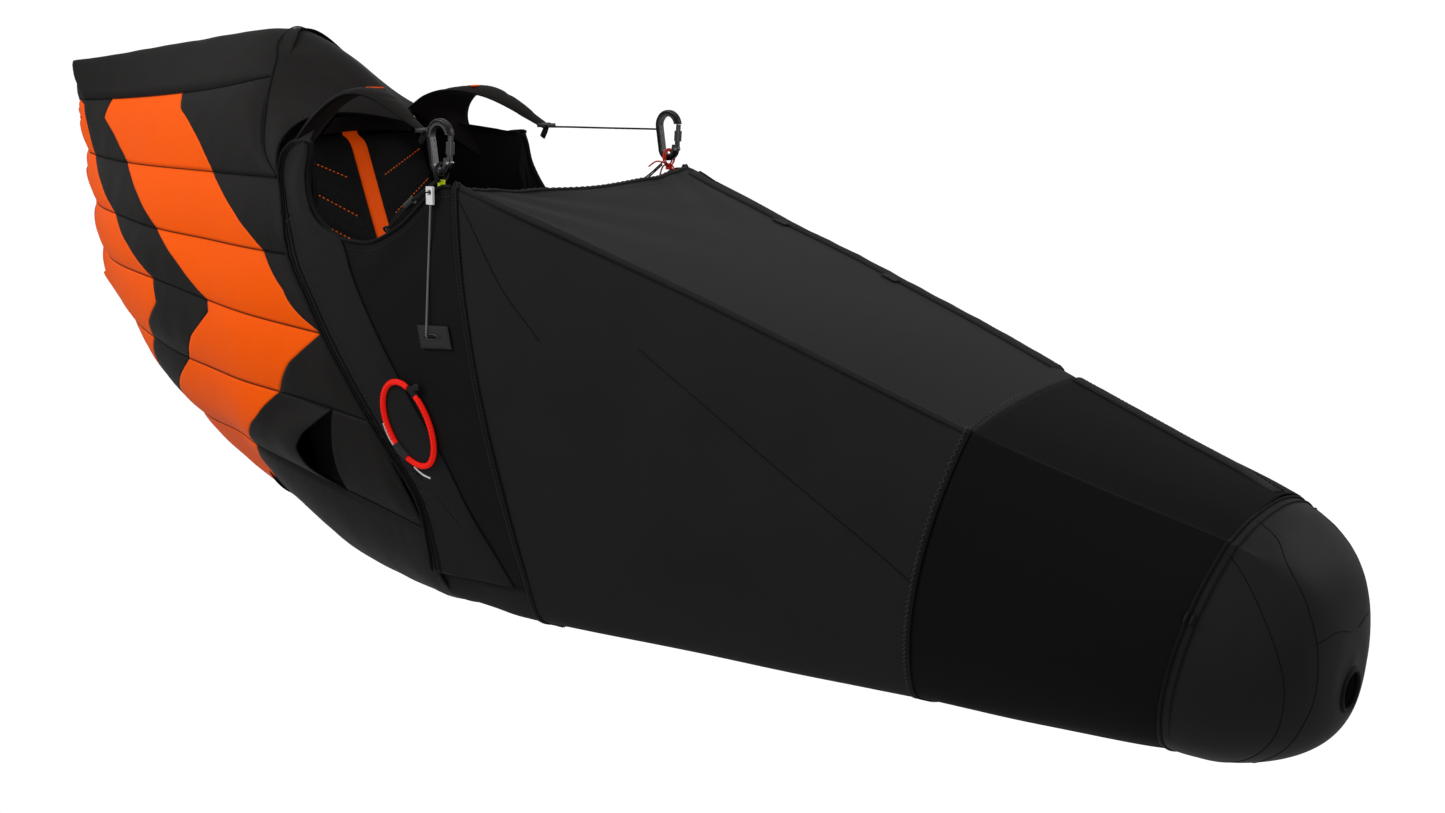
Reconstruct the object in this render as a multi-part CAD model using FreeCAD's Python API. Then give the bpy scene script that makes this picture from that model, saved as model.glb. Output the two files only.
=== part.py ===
import FreeCAD, Part
import math
import os

# Paragliding pod harness. Millimetres. +X points to the feet, +Y to the pilot's left, +Z up.
# The origin is midway between the two hang loops, level with the bottom of the carabiners.
# "right" and "left" are the pilot's: right is -Y.

Vector = FreeCAD.Vector
RIGHT = -1
LEFT = 1
REACH = 400.0                     # cutters run this far past the centre plane
SKIN = 3.0                        # thickness of every cloth shell
SEAM_GAP = 1.5                    # clear gap between neighbouring cloth panels

# hang points and carabiners
HANG_HALF = 240.0                 # half of the distance between the two carabiners
LOOP_CORD = 2.5                   # radius of the soft hang loop's cord
LOOP_RADIUS = 11.5
BAR = 9.0                         # width of the carabiner's bar
CARABINER_THICK = 10.0
CARABINER_HEIGHT = 76.0
BOW_RADIUS = 14.0                 # inner radius of the top bow, where the riser sits
FOOT_RADIUS = 9.0                 # inner radius of the bottom bow
GATE_PIN_RADIUS = 2.0
RUNNING_GAP = 0.05                # radial clearance of every pin that turns

# cross-sections of the body: half-width and height at the rim, the widest place and the lower bend
HULL_RIM = (222.0, 70.0)
HULL_WIDE = (258.0, -300.0)
HULL_LOW = (158.0, -604.0)
HULL_KEEL = -658.0

# side-view seam lines, (x, z)
ZIP_LINE = [(25, -14), (46, -120), (64, -215), (80, -330), (88, -430), (86, -540), (75, -610), (55, -690)]
COLLAR_REAR = [(-352, -19), (-330, -67), (-299, -130), (-260, -184), (-201, -272), (-133, -358), (-78, -450),
               (-85, -530), (-100, -575)]
COLLAR_FRONT = [(-176, -92), (-149, -151), (-68, -277), (-8, -380), (20, -455), (50, -530), (68, -575)]
WING_EDGE = [(-352, -19), (-330, 22), (-288, 46), (-262, 42), (-240, 33), (-222, -55), (-176, -92)]
ARM_RIM = [(COLLAR_FRONT[0][0] + SEAM_GAP, COLLAR_FRONT[0][1]), (-140, -92), (-95, -84), (-40, -52), (-8, -24),
           (18, -18)]
HOOD_SEAM = [(-560.0, 262.0), (-506.0, 122.0), (-354.0, -21.0)]
BELLY_LINE = -568.0               # height where the side panels meet the under panel
ZIP_WIDTH = 9.0
BACK_CURVE = [(-440, 44), (-382, -114), (-300, -285), (-190, -410), (-60, -455), (60, -452), (110, -440)]

# pod
POD_START = 28.0
SLEEVE_SEAM = (770.0, -273.0, 0.28)     # x and z of its top corner, and x gained per unit of height
NOSE_SEAM = (1070.0, -366.0, 0.29)
VENT_RADIUS = 26.0
VENT_HEIGHT = -540.0
DECK_FLANGE = 18.0                # the deck panel folds down this far over each side
DECK_DROP = (SLEEVE_SEAM[1] + 16.0) / (SLEEVE_SEAM[0] - POD_START)

# speed system
LINE_RADIUS = 1.5
LINE_X = -5.0
SLOT_Z = -214.0
SHEAVE_RADIUS = 17.0
SHEAVE_WIDTH = 8.0
PULLEY_Y = 210.0
PULLEY_Z = -430.0
LINE_BEND = 13.7                  # radius of the line's centre on the sheave
LINE_RUN_Z = PULLEY_Z - LINE_BEND # height of the run from the pulley to the bar
AXLE_RADIUS = 2.5
CHEEK = 2.0                       # thickness of the pulley block's cheeks
BAR_X = 640.0
BAR_HALF = 150.0
BAR_RADIUS = 11.0

# reserve handle
RING_CENTRE = (-45.0, -340.0)
RING_TALL = 65.0
RING_WIDE = 52.0
RING_BAND = 13.0
RING_TILT = 21.0

# footplate
FOOT_X = 975.0
FOOT_Z = -490.0
FOOT_WIDE = 105.0
FOOT_TALL = 85.0
FOOT_PIN = 3.0

# seat, back and straps: thickness and half-width
BACK_PAD = (22.0, 150.0)
NECK_PAD = (14.0, 78.0)
SEAT_PAD = (28.0, 170.0)
SEAT_SHELL_NEAR, SEAT_SHELL_FAR, SEAT_SHELL_HALF = 34.0, 38.0, 190.0
PROTECTOR_NEAR, PROTECTOR_FAR, PROTECTOR_HALF = 44.0, 112.0, 145.0
STRIP_HALF = 15.0
STRAP_CURVE = [(-308, -70), (-302, -10), (-294, 45), (-281, 86), (-252, 104), (-210, 92), (-160, 57)]
STRAP_NEAR, STRAP_FAR, STRAP_THICK = 68.0, 150.0, 9.0
WEBBING_X = (4.0, 29.0)           # the hip webbing passes just in front of the speed line
WEBBING_Z = (-400.0, -12.0)
WEBBING_THICK = 3.0
CHEST_Z = -60.5                   # top of the chest strap
BUCKLE_TOP = -52.0

# gate of the carabiner
GATE_FOOT = (16.5, 18.0)          # x and z of the gate's pin
GATE_NOSE = (19.2, 55.0)          # where the gate meets the nose of the bow
SHANK_RADIUS = 3.6
GATE_SLEEVE_RADIUS = 5.6
GATE_SLEEVE_START, GATE_SLEEVE_LENGTH = 11.5, 15.5

# reserve: container and pack, as lowest and highest corners
CONTAINER_LOW, CONTAINER_HIGH = (-150, -115, -594), (60, 115, -500)
CONTAINER_WALL = 3.0
PACK_GAP = 5.0

# inner ribs of the fairing: x, height of the vent hole and its radius
RIBS = [(-560, -180, 90), (-740, -130, 70), (-920, -80, 38)]

parts = {}


# ---------------------------------------------------------------- outlines and solids

def arc(start, middle, end):
    return Part.Arc(start, middle, end).toShape()


def block(low, high):
    size = [high[i] - low[i] for i in range(3)]
    return Part.makeBox(size[0], size[1], size[2], Vector(*low))


def rod(start, end, radius):
    run = Vector(*end) - Vector(*start)
    return Part.makeCylinder(radius, run.Length, Vector(*start), run)


def shifted(points, dx, dz=0.0):
    return [(x + dx, z + dz) for x, z in points]


def side_prism(*curves, low=-REACH, high=REACH):
    """Solid across the width whose side view is closed by the curves, joined end to end."""
    edges = []
    for index, curve in enumerate(curves):
        points = [Vector(x, low, z) for x, z in curve]
        if len(points) > 2:
            spline = Part.BSplineCurve()
            spline.interpolate(points)
            edges.append(spline.toShape())
        elif len(points) == 2:
            edges.append(Part.makeLine(points[0], points[1]))
        following = curves[(index + 1) % len(curves)]
        next_point = Vector(following[0][0], low, following[0][1])
        if (points[-1] - next_point).Length > 1e-6:
            edges.append(Part.makeLine(points[-1], next_point))
    face = Part.Face(Part.Wire(edges))
    return face.extrude(Vector(0, high - low, 0))


def polygon_prism(points, low=-REACH, high=REACH):
    corners = [Vector(x, low, z) for x, z in points]
    face = Part.Face(Part.makePolygon(corners + corners[:1]))
    return face.extrude(Vector(0, high - low, 0))


def offset_curve(points, distance):
    """Points moved along the side-view normal; a positive distance is down and back."""
    moved = []
    for index, (x, z) in enumerate(points):
        before = points[max(index - 1, 0)]
        after = points[min(index + 1, len(points) - 1)]
        dx, dz = after[0] - before[0], after[1] - before[1]
        length = math.hypot(dx, dz)
        moved.append((x + dz / length * distance, z - dx / length * distance))
    return moved


def band(points, near, far, low, high):
    """Sheet that follows a side-view curve, between two distances from it."""
    inner = offset_curve(points, near)
    outer = offset_curve(points, far)
    return side_prism(inner, outer[::-1], low=low, high=high)


def cord(points, radius, bends):
    """Round cord along straight runs, with a true arc at each corner, of that corner's bend radius."""
    nodes = [Vector(*p) for p in points]
    edges = []
    start = nodes[0]
    for before, corner, after, bend in zip(nodes, nodes[1:], nodes[2:], bends):
        back = (before - corner).normalize()
        ahead = (after - corner).normalize()
        half = 0.5 * back.getAngle(ahead)
        reach = bend / math.tan(half)
        first = corner + back * reach
        last = corner + ahead * reach
        bisector = (back + ahead).normalize()
        middle = corner + bisector * (bend / math.sin(half) - bend)
        edges.append(Part.makeLine(start, first))
        edges.append(arc(first, middle, last))
        start = last
    edges.append(Part.makeLine(start, nodes[-1]))
    run = nodes[1] - nodes[0]
    ring = Part.Wire(Part.makeCircle(radius, nodes[0], run))
    return Part.Wire(edges).makePipeShell([ring], True, True)


def ring_solid(centre, axis, outer, inner, length):
    start = Vector(*centre) - Vector(*axis) * (length / 2)
    tube = Part.makeCylinder(outer, length, start, Vector(*axis))
    return tube.cut(Part.makeCylinder(inner, length, start, Vector(*axis)))


# ---------------------------------------------------------------- the two lofted bodies

def hull_wire(station, inset):
    """Closed U-shaped section: a crowned top and two bowed sides on a round keel."""
    x, lean, top, crown, wide, low, keel = station
    height = top[1]

    def at(y, z):
        return Vector(x + lean * (z - height), y, z)

    rim, rim_z = top[0] - inset, top[1] - inset
    belt, belt_z = wide[0] - inset, wide[1]
    bend, bend_z = low[0] - inset * 0.7, low[1] + inset * 0.7
    right = arc(at(-rim, rim_z), at(-belt, belt_z), at(-bend, bend_z))
    bottom = arc(at(-bend, bend_z), at(0, keel + inset), at(bend, bend_z))
    left = arc(at(bend, bend_z), at(belt, belt_z), at(rim, rim_z))
    lid = arc(at(rim, rim_z), at(0, rim_z + crown), at(-rim, rim_z))
    return Part.Wire([right, bottom, left, lid])


def fairing_wire(station, inset):
    """Closed tear-shaped section: a narrow crest, flaring sides and a round keel."""
    x, lean, crest, shoulder, flank, wide, low_flank, low, keel = station

    def at(point):
        return Vector(x + lean * (point[1] - wide[1]), point[0], point[1])

    def pulled(point, share_y, share_z):
        return max(point[0] - inset * share_y, 1.0), point[1] - inset * share_z

    top = (0.0, crest - inset)
    shoulder = pulled(shoulder, 0.6, 0.9)
    flank = pulled(flank, 0.9, 0.5)
    wide = pulled(wide, 1.0, 0.0)
    low_flank = pulled(low_flank, 0.95, -0.3)
    low = pulled(low, 0.6, -0.8)
    bottom = (0.0, keel + inset)

    def mirrored(point):
        return -point[0], point[1]

    rounds = [(shoulder, flank, wide), (wide, low_flank, low), (low, bottom, mirrored(low)),
              (mirrored(low), mirrored(low_flank), mirrored(wide)),
              (mirrored(wide), mirrored(flank), mirrored(shoulder)), (mirrored(shoulder), top, shoulder)]
    return Part.Wire([arc(at(a), at(b), at(c)) for a, b, c in rounds])


def lofted(stations, wire_of, inset, first_shift, last_shift):
    wires = []
    for index, station in enumerate(stations):
        shift = first_shift if index == 0 else last_shift if index == len(stations) - 1 else 0.0
        wires.append(wire_of((station[0] + shift,) + tuple(station[1:]), inset))
    return Part.makeLoft(wires, True, True)


HARNESS = [
    (-420.0, 0.0, (206.0, 70.0), 5.0, (238.0, -250.0), (126.0, -532.0), -603.0),
    (-150.0, 0.0, HULL_RIM, 5.0, HULL_WIDE, HULL_LOW, HULL_KEEL),
    (150.0, 0.0, HULL_RIM, 5.0, HULL_WIDE, HULL_LOW, HULL_KEEL),
]

POD = [
    (POD_START, 0.0, (236.0, -16.0), -10.0, HULL_WIDE, HULL_LOW, HULL_KEEL),
    (SLEEVE_SEAM[0], SLEEVE_SEAM[2], (162.0, SLEEVE_SEAM[1]), 19.0, (190.0, -445.0), (120.0, -610.0), -648.0),
    (NOSE_SEAM[0], NOSE_SEAM[2], (118.0, NOSE_SEAM[1]), 30.0, (165.0, -470.0), (118.0, -600.0), -642.0),
    (1162.0, 0.20, (88.0, -402.0), 24.0, (128.0, -490.0), (90.0, -592.0), -622.0),
    (1196.0, 0.10, (46.0, -442.0), 14.0, (70.0, -508.0), (50.0, -572.0), -588.0),
]

FAIRING = [
    (-50.0, 0.0, 0.0, (100.0, -12.0), (215.0, -60.0), (262.0, -200.0), (236.0, -410.0), (158.0, -604.0), -658.0),
    (-290.0, 0.0, 62.0, (100.0, 45.0), (212.0, -30.0), (252.0, -200.0), (232.0, -405.0), (140.0, -570.0), -632.0),
    (-420.0, 0.0, 146.0, (68.0, 120.0), (186.0, 10.0), (240.0, -200.0), (222.0, -400.0), (122.0, -532.0), -603.0),
    (-550.0, -0.05, 199.0, (44.0, 180.0), (148.0, 50.0), (212.0, -200.0), (190.0, -370.0), (105.0, -482.0), -572.0),
    (-750.0, -0.10, 184.0, (28.0, 170.0), (96.0, 60.0), (165.0, -150.0), (150.0, -320.0), (75.0, -430.0), -490.0),
    (-950.0, -0.14, 160.0, (15.0, 150.0), (46.0, 60.0), (88.0, -100.0), (80.0, -240.0), (35.0, -330.0), -362.0),
    (-1085.0, -0.185, 142.0, (5.0, 138.0), (11.0, 60.0), (14.0, -50.0), (13.0, -150.0), (7.0, -222.0), -240.0),
]


def harness_solid(inset):
    return lofted(HARNESS, hull_wire, inset, -1.0 if inset else 0.0, 1.0 if inset else 0.0)


def pod_solid(inset):
    return lofted(POD, hull_wire, inset, -5.0 if inset else 0.0, -inset)


def fairing_solid(inset):
    return lofted(FAIRING, fairing_wire, inset, 1.0 if inset else 0.0, inset * 4)


def sleeve_x(z):
    return SLEEVE_SEAM[0] + SLEEVE_SEAM[2] * (z - SLEEVE_SEAM[1])


def nose_x(z):
    return NOSE_SEAM[0] + NOSE_SEAM[2] * (z - NOSE_SEAM[1])


def hull_half(z):
    """Half-width of the body at a height, from the circle through the rim, belt and lower bend."""
    points = [Vector(y, 0, h) for y, h in (HULL_RIM, HULL_WIDE, HULL_LOW)]
    circle = arc(points[0], points[1], points[2]).Curve
    rise = z - circle.Center.z
    return circle.Center.x + math.sqrt(circle.Radius ** 2 - rise ** 2)


# ---------------------------------------------------------------- cloth panels

def harness_panels():
    shell = harness_solid(0.0).cut(harness_solid(SKIN))
    right_half = block((-REACH * 2, -REACH, -800), (REACH, 0, 200))
    left_half = block((-REACH * 2, 0, -800), (REACH, REACH, 200))
    bottom = BELLY_LINE + SEAM_GAP / 2

    collar_zone = side_prism(COLLAR_REAR, [COLLAR_REAR[-1], COLLAR_FRONT[-1]], COLLAR_FRONT[::-1],
                             [COLLAR_FRONT[0], WING_EDGE[-2]], [WING_EDGE[-2], WING_EDGE[-3]],
                             WING_EDGE[-3::-1])
    above = block((-900, -REACH, bottom), (REACH, REACH, 300))
    collar = shell.common(collar_zone).common(above)
    front = shifted(COLLAR_FRONT, SEAM_GAP)
    zip_edge = shifted(ZIP_LINE, -SEAM_GAP)
    side_zone = side_prism(front, [front[-1], (40, -700)], [(40, -700), zip_edge[-1]],
                           zip_edge[::-1], [zip_edge[0], ARM_RIM[-1]], ARM_RIM[::-1])
    side = shell.common(side_zone).common(above)
    slot = block((LINE_X - 15, -REACH, SLOT_Z - 6), (LINE_X + 15, REACH, SLOT_Z + 6))
    side = side.cut(slot)
    for name, half in (("right", right_half), ("left", left_half)):
        parts[name + "_collar_panel"] = collar.common(half)
        parts[name + "_side_panel"] = side.common(half)

    below = block((-900, -REACH, -800), (REACH, REACH, BELLY_LINE - SEAM_GAP / 2))
    rear = shifted(COLLAR_REAR[-2:] + [(-130, -690)], SEAM_GAP)
    under_zone = side_prism(rear, [rear[-1], zip_edge[-1]], zip_edge[::-1], [zip_edge[0], rear[0]])
    parts["under_panel"] = shell.common(under_zone).common(below)
    strip_zone = side_prism(ZIP_LINE, shifted(ZIP_LINE, ZIP_WIDTH)[::-1])
    parts["pod_zip_strip"] = shell.common(strip_zone)


def line_patches():
    """Rounded wear patches on the sides, with a slot where each speed line goes in."""
    face = harness_solid(-3.2).cut(harness_solid(-0.4))
    frame = side_prism([(-26, SLOT_Z + 16), (30, SLOT_Z + 16)], [(36, SLOT_Z - 16), (-20, SLOT_Z - 16)])
    slot = block((LINE_X - 13, -REACH, SLOT_Z - 4), (LINE_X + 13, REACH, SLOT_Z + 4))
    parts["line_patches"] = face.common(frame).cut(slot)


def fairing_panels():
    shell = fairing_solid(0.0).cut(fairing_solid(SKIN))
    seam_top, seam_middle, seam_low = HOOD_SEAM
    band_rear = (-1250.0, 50.0)
    band_front = seam_middle
    hood = polygon_prism(shifted(HOOD_SEAM[:2], SEAM_GAP) + [(-351, -19), (-296, 72), (-296, 260)])
    parts["fairing_front_panel"] = shell.common(hood)
    top = polygon_prism([band_rear, band_front, seam_top, (-1250, seam_top[1])])
    parts["fairing_top_band"] = shell.common(top)
    collar = shifted(COLLAR_REAR, -SEAM_GAP)
    foot = (-131.0, -700.0)
    skin_zone = side_prism(collar, [collar[-1], foot], [foot, (-1250, -700)],
                           [(-1250, -700), (band_rear[0], band_rear[1] - SEAM_GAP)],
                           [(band_rear[0], band_rear[1] - SEAM_GAP), (band_front[0], band_front[1] - SEAM_GAP)],
                           [(band_front[0], band_front[1] - SEAM_GAP), seam_low], [seam_low, collar[0]])
    mouth = side_prism([(-250, -345), (-272, -385), (-270, -420), (-243, -468)], [(-243, -468), (-250, -345)])
    parts["fairing_skin"] = shell.common(skin_zone).cut(mouth)

    lip = fairing_solid(-9.0).cut(fairing_solid(-6.0))
    lip_zone = side_prism([(-252, -342), (-285, -370), (-285, -430), (-246, -470)],
                          [(-246, -470), (-262, -420), (-264, -385), (-252, -342)])
    parts["intake_scoops"] = lip.common(lip_zone)

    inside = fairing_solid(SKIN + 4.0)
    ribs = []
    for x, z, vent in RIBS:
        slab = block((x - 1, -REACH, -700), (x + 1, REACH, 300))
        hole = rod((x - 2, 0, z), (x + 2, 0, z), vent)
        ribs.append(inside.common(slab).cut(hole))
    parts["fairing_ribs"] = Part.Compound(ribs)


def pod_panels():
    shell = pod_solid(0.0).cut(pod_solid(SKIN))
    start = shifted(ZIP_LINE, ZIP_WIDTH + 2)
    high, low = 60.0, -760.0
    seam_high, seam_low = sleeve_x(high) - SEAM_GAP / 2, sleeve_x(low) - SEAM_GAP / 2
    leg_zone = side_prism(start, [(start[-1][0], low), (seam_low, low)], [(seam_low, low), (seam_high, high)],
                          [(seam_high, high), (start[0][0], high)])
    legs = shell.common(leg_zone)
    crease_start = (0.0, -16.0 - DECK_FLANGE - DECK_DROP * POD_START)
    crease_end = (900.0, crease_start[1] + DECK_DROP * 900.0)
    deck_zone = polygon_prism([crease_start, crease_end, (900, 100), (0, 100)])
    lower = [(x, z - SEAM_GAP) for x, z in (crease_start, crease_end)]
    hull_zone = polygon_prism([lower[0], lower[1], (900, -800), (0, -800)])
    parts["pod_deck"] = legs.common(deck_zone)
    parts["pod_hull"] = legs.common(hull_zone)
    gap = SEAM_GAP / 2
    sleeve_zone = polygon_prism([(sleeve_x(low) + gap, low), (sleeve_x(high) + gap, high),
                                 (nose_x(high) - gap, high), (nose_x(low) - gap, low)])
    parts["pod_sleeve"] = shell.common(sleeve_zone)
    nose_zone = polygon_prism([(nose_x(low) + gap, low), (nose_x(high) + gap, high), (1300, high), (1300, low)])
    hole = rod((1100, 0, VENT_HEIGHT), (1300, 0, VENT_HEIGHT), VENT_RADIUS + 0.5)
    parts["nose_cap"] = shell.common(nose_zone).cut(hole)
    parts["nose_vent_rim"] = ring_solid((1186, 0, VENT_HEIGHT), (1, 0, 0), VENT_RADIUS, VENT_RADIUS - 3, 10)


# ---------------------------------------------------------------- seat, back and straps

def seat_parts():
    back = BACK_CURVE[:4]
    seat = [(-172, -420)] + BACK_CURVE[4:]
    parts["back_pad"] = band(back, 0, BACK_PAD[0], -BACK_PAD[1], BACK_PAD[1])
    parts["spine_strip"] = band(back, -4, -1, -STRIP_HALF, STRIP_HALF)
    parts["neck_pad"] = band([(-428, 78), (-446, 50)], 0, NECK_PAD[0], -NECK_PAD[1], NECK_PAD[1])
    parts["seat_pad"] = band(seat, 0, SEAT_PAD[0], -SEAT_PAD[1], SEAT_PAD[1])
    shell = band(BACK_CURVE, SEAT_SHELL_NEAR, SEAT_SHELL_FAR, -SEAT_SHELL_HALF, SEAT_SHELL_HALF)
    split = -350.0
    behind = block((-REACH * 2, -REACH, -800), (split, REACH, 300))
    ahead = block((split, -REACH, -800), (REACH, REACH, 300))
    upper = shell.common(behind).common(fairing_solid(SKIN * 2))
    lower = shell.common(ahead).common(harness_solid(SKIN * 2))
    parts["seat_shell"] = upper.fuse(lower).removeSplitter()
    parts["seat_protector"] = band(BACK_CURVE[1:4], PROTECTOR_NEAR, PROTECTOR_FAR, -PROTECTOR_HALF, PROTECTOR_HALF)


def webbing_parts():
    for name, side in (("right", RIGHT), ("left", LEFT)):
        low, high = sorted((side * STRAP_NEAR, side * STRAP_FAR))
        parts[name + "_shoulder_strap"] = band(STRAP_CURVE, 0, STRAP_THICK, low, high)
    lining = harness_solid(SKIN + 2).cut(harness_solid(SKIN + 2 + WEBBING_THICK))
    run = block((WEBBING_X[0], -REACH, WEBBING_Z[0]), (WEBBING_X[1], REACH, WEBBING_Z[1]))
    parts["main_webbing"] = lining.common(run)
    parts["chest_strap"] = block((-20, -231, CHEST_Z - 1.5), (20, 231, CHEST_Z))
    foot = CHEST_Z + 1.0
    halves = [block((-24, -34, foot), (24, -2, BUCKLE_TOP)), block((-24, 2, foot), (24, 34, BUCKLE_TOP))]
    notches = [block((-10, -8, foot), (10, 0, BUCKLE_TOP)), block((-10, 24, foot), (10, 28, BUCKLE_TOP))]
    parts["chest_buckle"] = Part.Compound([half.cut(notch) for half, notch in zip(halves, notches)])


def side_cords():
    """Trim cord from each hang loop to the arm rim, and sternum cord from the strap's tip."""
    trims, locks, sternums, clips = [], [], [], []
    for side in (RIGHT, LEFT):
        top = (-10, side * 236, -5)
        middle = (-62, side * 240, -39)
        end = (-104, side * 243, -76)
        trims.append(cord([top, middle, end], 1.5, [20]))
        run = (Vector(*end) - Vector(*top)).normalize()
        lock = Part.makeCylinder(5.5, 16, Vector(*middle) - run * 8, run)
        locks.append(lock.cut(Part.makeCylinder(2.6, 20, Vector(*middle) - run * 10, run)))
        sternums.append(rod((-134, side * 127, 53), (-29, side * 231, 47), 1.5))
        clips.append(block((-156, side * 127 - 8, 50), (-136, side * 127 + 8, 56)))
    parts["trim_cords"] = Part.Compound(trims)
    parts["cord_locks"] = Part.Compound(locks)
    parts["sternum_cords"] = Part.Compound(sternums)
    parts["sternum_clips"] = Part.Compound(clips)


# ---------------------------------------------------------------- carabiners

def tapered_loop(grow, y, length):
    """Extruded D of two bows joined by straight tangents: the foot bow below, the wider bow above."""
    low_centre = (0.0, BAR + FOOT_RADIUS)
    high_centre = (0.0, CARABINER_HEIGHT - BAR - BOW_RADIUS)
    low_radius, high_radius = FOOT_RADIUS + grow, BOW_RADIUS + grow
    run = high_centre[1] - low_centre[1]
    tilt = math.asin((high_radius - low_radius) / run)

    def on(centre, radius, angle):
        return Vector(centre[0] + radius * math.cos(angle), y, centre[1] + radius * math.sin(angle))

    a, b = on(low_centre, low_radius, math.pi + tilt), on(low_centre, low_radius, -tilt)
    c, d = on(high_centre, high_radius, -tilt), on(high_centre, high_radius, math.pi + tilt)
    foot = arc(a, on(low_centre, low_radius, -math.pi / 2), b)
    bow = arc(c, on(high_centre, high_radius, math.pi / 2), d)
    face = Part.Face(Part.Wire([foot, Part.makeLine(b, c), bow, Part.makeLine(d, a)]))
    return face.extrude(Vector(0, length, 0))


def carabiner(name, side):
    centre = side * HANG_HALF
    half = CARABINER_THICK / 2
    loop = tapered_loop(BAR, centre - half, CARABINER_THICK)
    edges = [e for e in loop.Edges if abs(e.BoundBox.YMax - e.BoundBox.YMin) < 1e-6]
    loop = loop.makeFillet(3.0, edges)
    body = loop.cut(tapered_loop(0.0, centre - half - 1, CARABINER_THICK + 2))

    pin_x, pin_z = GATE_FOOT
    nose_z = GATE_NOSE[1]
    lean = Vector(GATE_NOSE[0] - pin_x, 0, nose_z - pin_z).normalize()
    body = body.cut(block((6.0, centre - half - 1, pin_z + 6.5), (40, centre + half + 1, nose_z)))
    body = body.cut(block((6.0, centre - 2.6, pin_z - 8), (40, centre + 2.6, pin_z + 10)))
    pin = rod((pin_x, centre - half - 0.5, pin_z), (pin_x, centre + half + 0.5, pin_z), GATE_PIN_RADIUS)
    body = body.cut(pin)

    foot = Vector(pin_x, centre, pin_z)
    tongue = rod((pin_x, centre - 2.3, pin_z), (pin_x, centre + 2.3, pin_z), 4.2)
    shank = Part.makeCylinder(SHANK_RADIUS, nose_z - pin_z - 10.6, foot + lean * 10.0, lean)
    neck = Part.makeBox(6.0, 4.6, 10.0, Vector(pin_x - 2.8, centre - 2.3, pin_z + 1.0))
    gate = tongue.fuse([neck, shank])
    gate = gate.cut(rod((pin_x, centre - 9, pin_z), (pin_x, centre + 9, pin_z), GATE_PIN_RADIUS + RUNNING_GAP))
    sleeve_start = foot + lean * GATE_SLEEVE_START
    sleeve = Part.makeCylinder(GATE_SLEEVE_RADIUS, GATE_SLEEVE_LENGTH, sleeve_start, lean)
    sleeve = sleeve.cut(Part.makeCylinder(SHANK_RADIUS + RUNNING_GAP, GATE_SLEEVE_LENGTH, sleeve_start, lean))

    parts[name + "_carabiner"] = body
    parts[name + "_gate"] = gate
    parts[name + "_gate_sleeve"] = sleeve
    parts[name + "_gate_pin"] = pin
    loop_ring = Part.makeTorus(LOOP_RADIUS, LOOP_CORD, Vector(0, centre, BAR / 2), Vector(1, 0, 0))
    parts[name + "_hang_loop"] = loop_ring


# ---------------------------------------------------------------- speed system

def pulley(name, side):
    """Grooved sheave on its axle, between the two cheeks of a block."""
    x, y, z = LINE_X + LINE_BEND, side * PULLEY_Y, PULLEY_Z
    half = SHEAVE_WIDTH / 2
    disc = rod((x, y - half, z), (x, y + half, z), SHEAVE_RADIUS)
    groove = Part.makeTorus(LINE_BEND, LINE_RADIUS + 0.5, Vector(x, y, z), Vector(0, 1, 0))
    mouth = ring_solid((x, y, z), (0, 1, 0), SHEAVE_RADIUS + 1, LINE_BEND, half)
    bore = rod((x, y - half - 1, z), (x, y + half + 1, z), AXLE_RADIUS + RUNNING_GAP)
    parts[name + "_sheave"] = disc.cut([groove, mouth, bore])

    inner = half + 1.0
    outer = inner + CHEEK
    axle = rod((x, y - outer - 0.5, z), (x, y + outer + 0.5, z), AXLE_RADIUS)
    cheeks = []
    for face in (-outer, inner):
        cheek = rod((x, y + face, z), (x, y + face + CHEEK, z), SHEAVE_RADIUS + 2)
        ear = block((x, y + face, z + 2), (x + 24, y + face + CHEEK, z + 16))
        cheeks.append(cheek.fuse(ear))
    web = block((x + 21, y - outer, z + 2), (x + 24, y + outer, z + 16))
    return cheeks[0].fuse([cheeks[1], web]).cut(axle), axle


def speed_line(side):
    """Line from the hook, in through the slot, round the sheave and forward to the bar."""
    outer = hull_half(SLOT_Z) + 6.5
    top = hull_half(-36) + 7.0
    pulley_y = side * PULLEY_Y
    path = [(LINE_X, side * top, -38), (LINE_X, side * outer, SLOT_Z), (LINE_X, side * 246, SLOT_Z - 2),
            (LINE_X, side * 236, SLOT_Z - 20), (LINE_X, pulley_y, SLOT_Z - 90), (LINE_X, pulley_y, LINE_RUN_Z),
            (44, pulley_y, LINE_RUN_Z), (BAR_X - BAR_RADIUS - 2, side * (BAR_HALF - 12), LINE_RUN_Z)]
    return cord(path, LINE_RADIUS, [4, 4, 20, 40, LINE_BEND, 60])


def line_hook(side):
    """Snap hook on the end of the speed line: a flat body with an eye and a slit."""
    top = side * (hull_half(-36) + 7.0)
    body = block((LINE_X - 6, top - 2, -37), (LINE_X + 6, top + 2, -13))
    eye = rod((LINE_X, top - 3, -21), (LINE_X, top + 3, -21), 4.0)
    slit = block((LINE_X - 6.1, top - 3, -22), (LINE_X, top + 3, -20))
    return body.cut([eye, slit])


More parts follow.
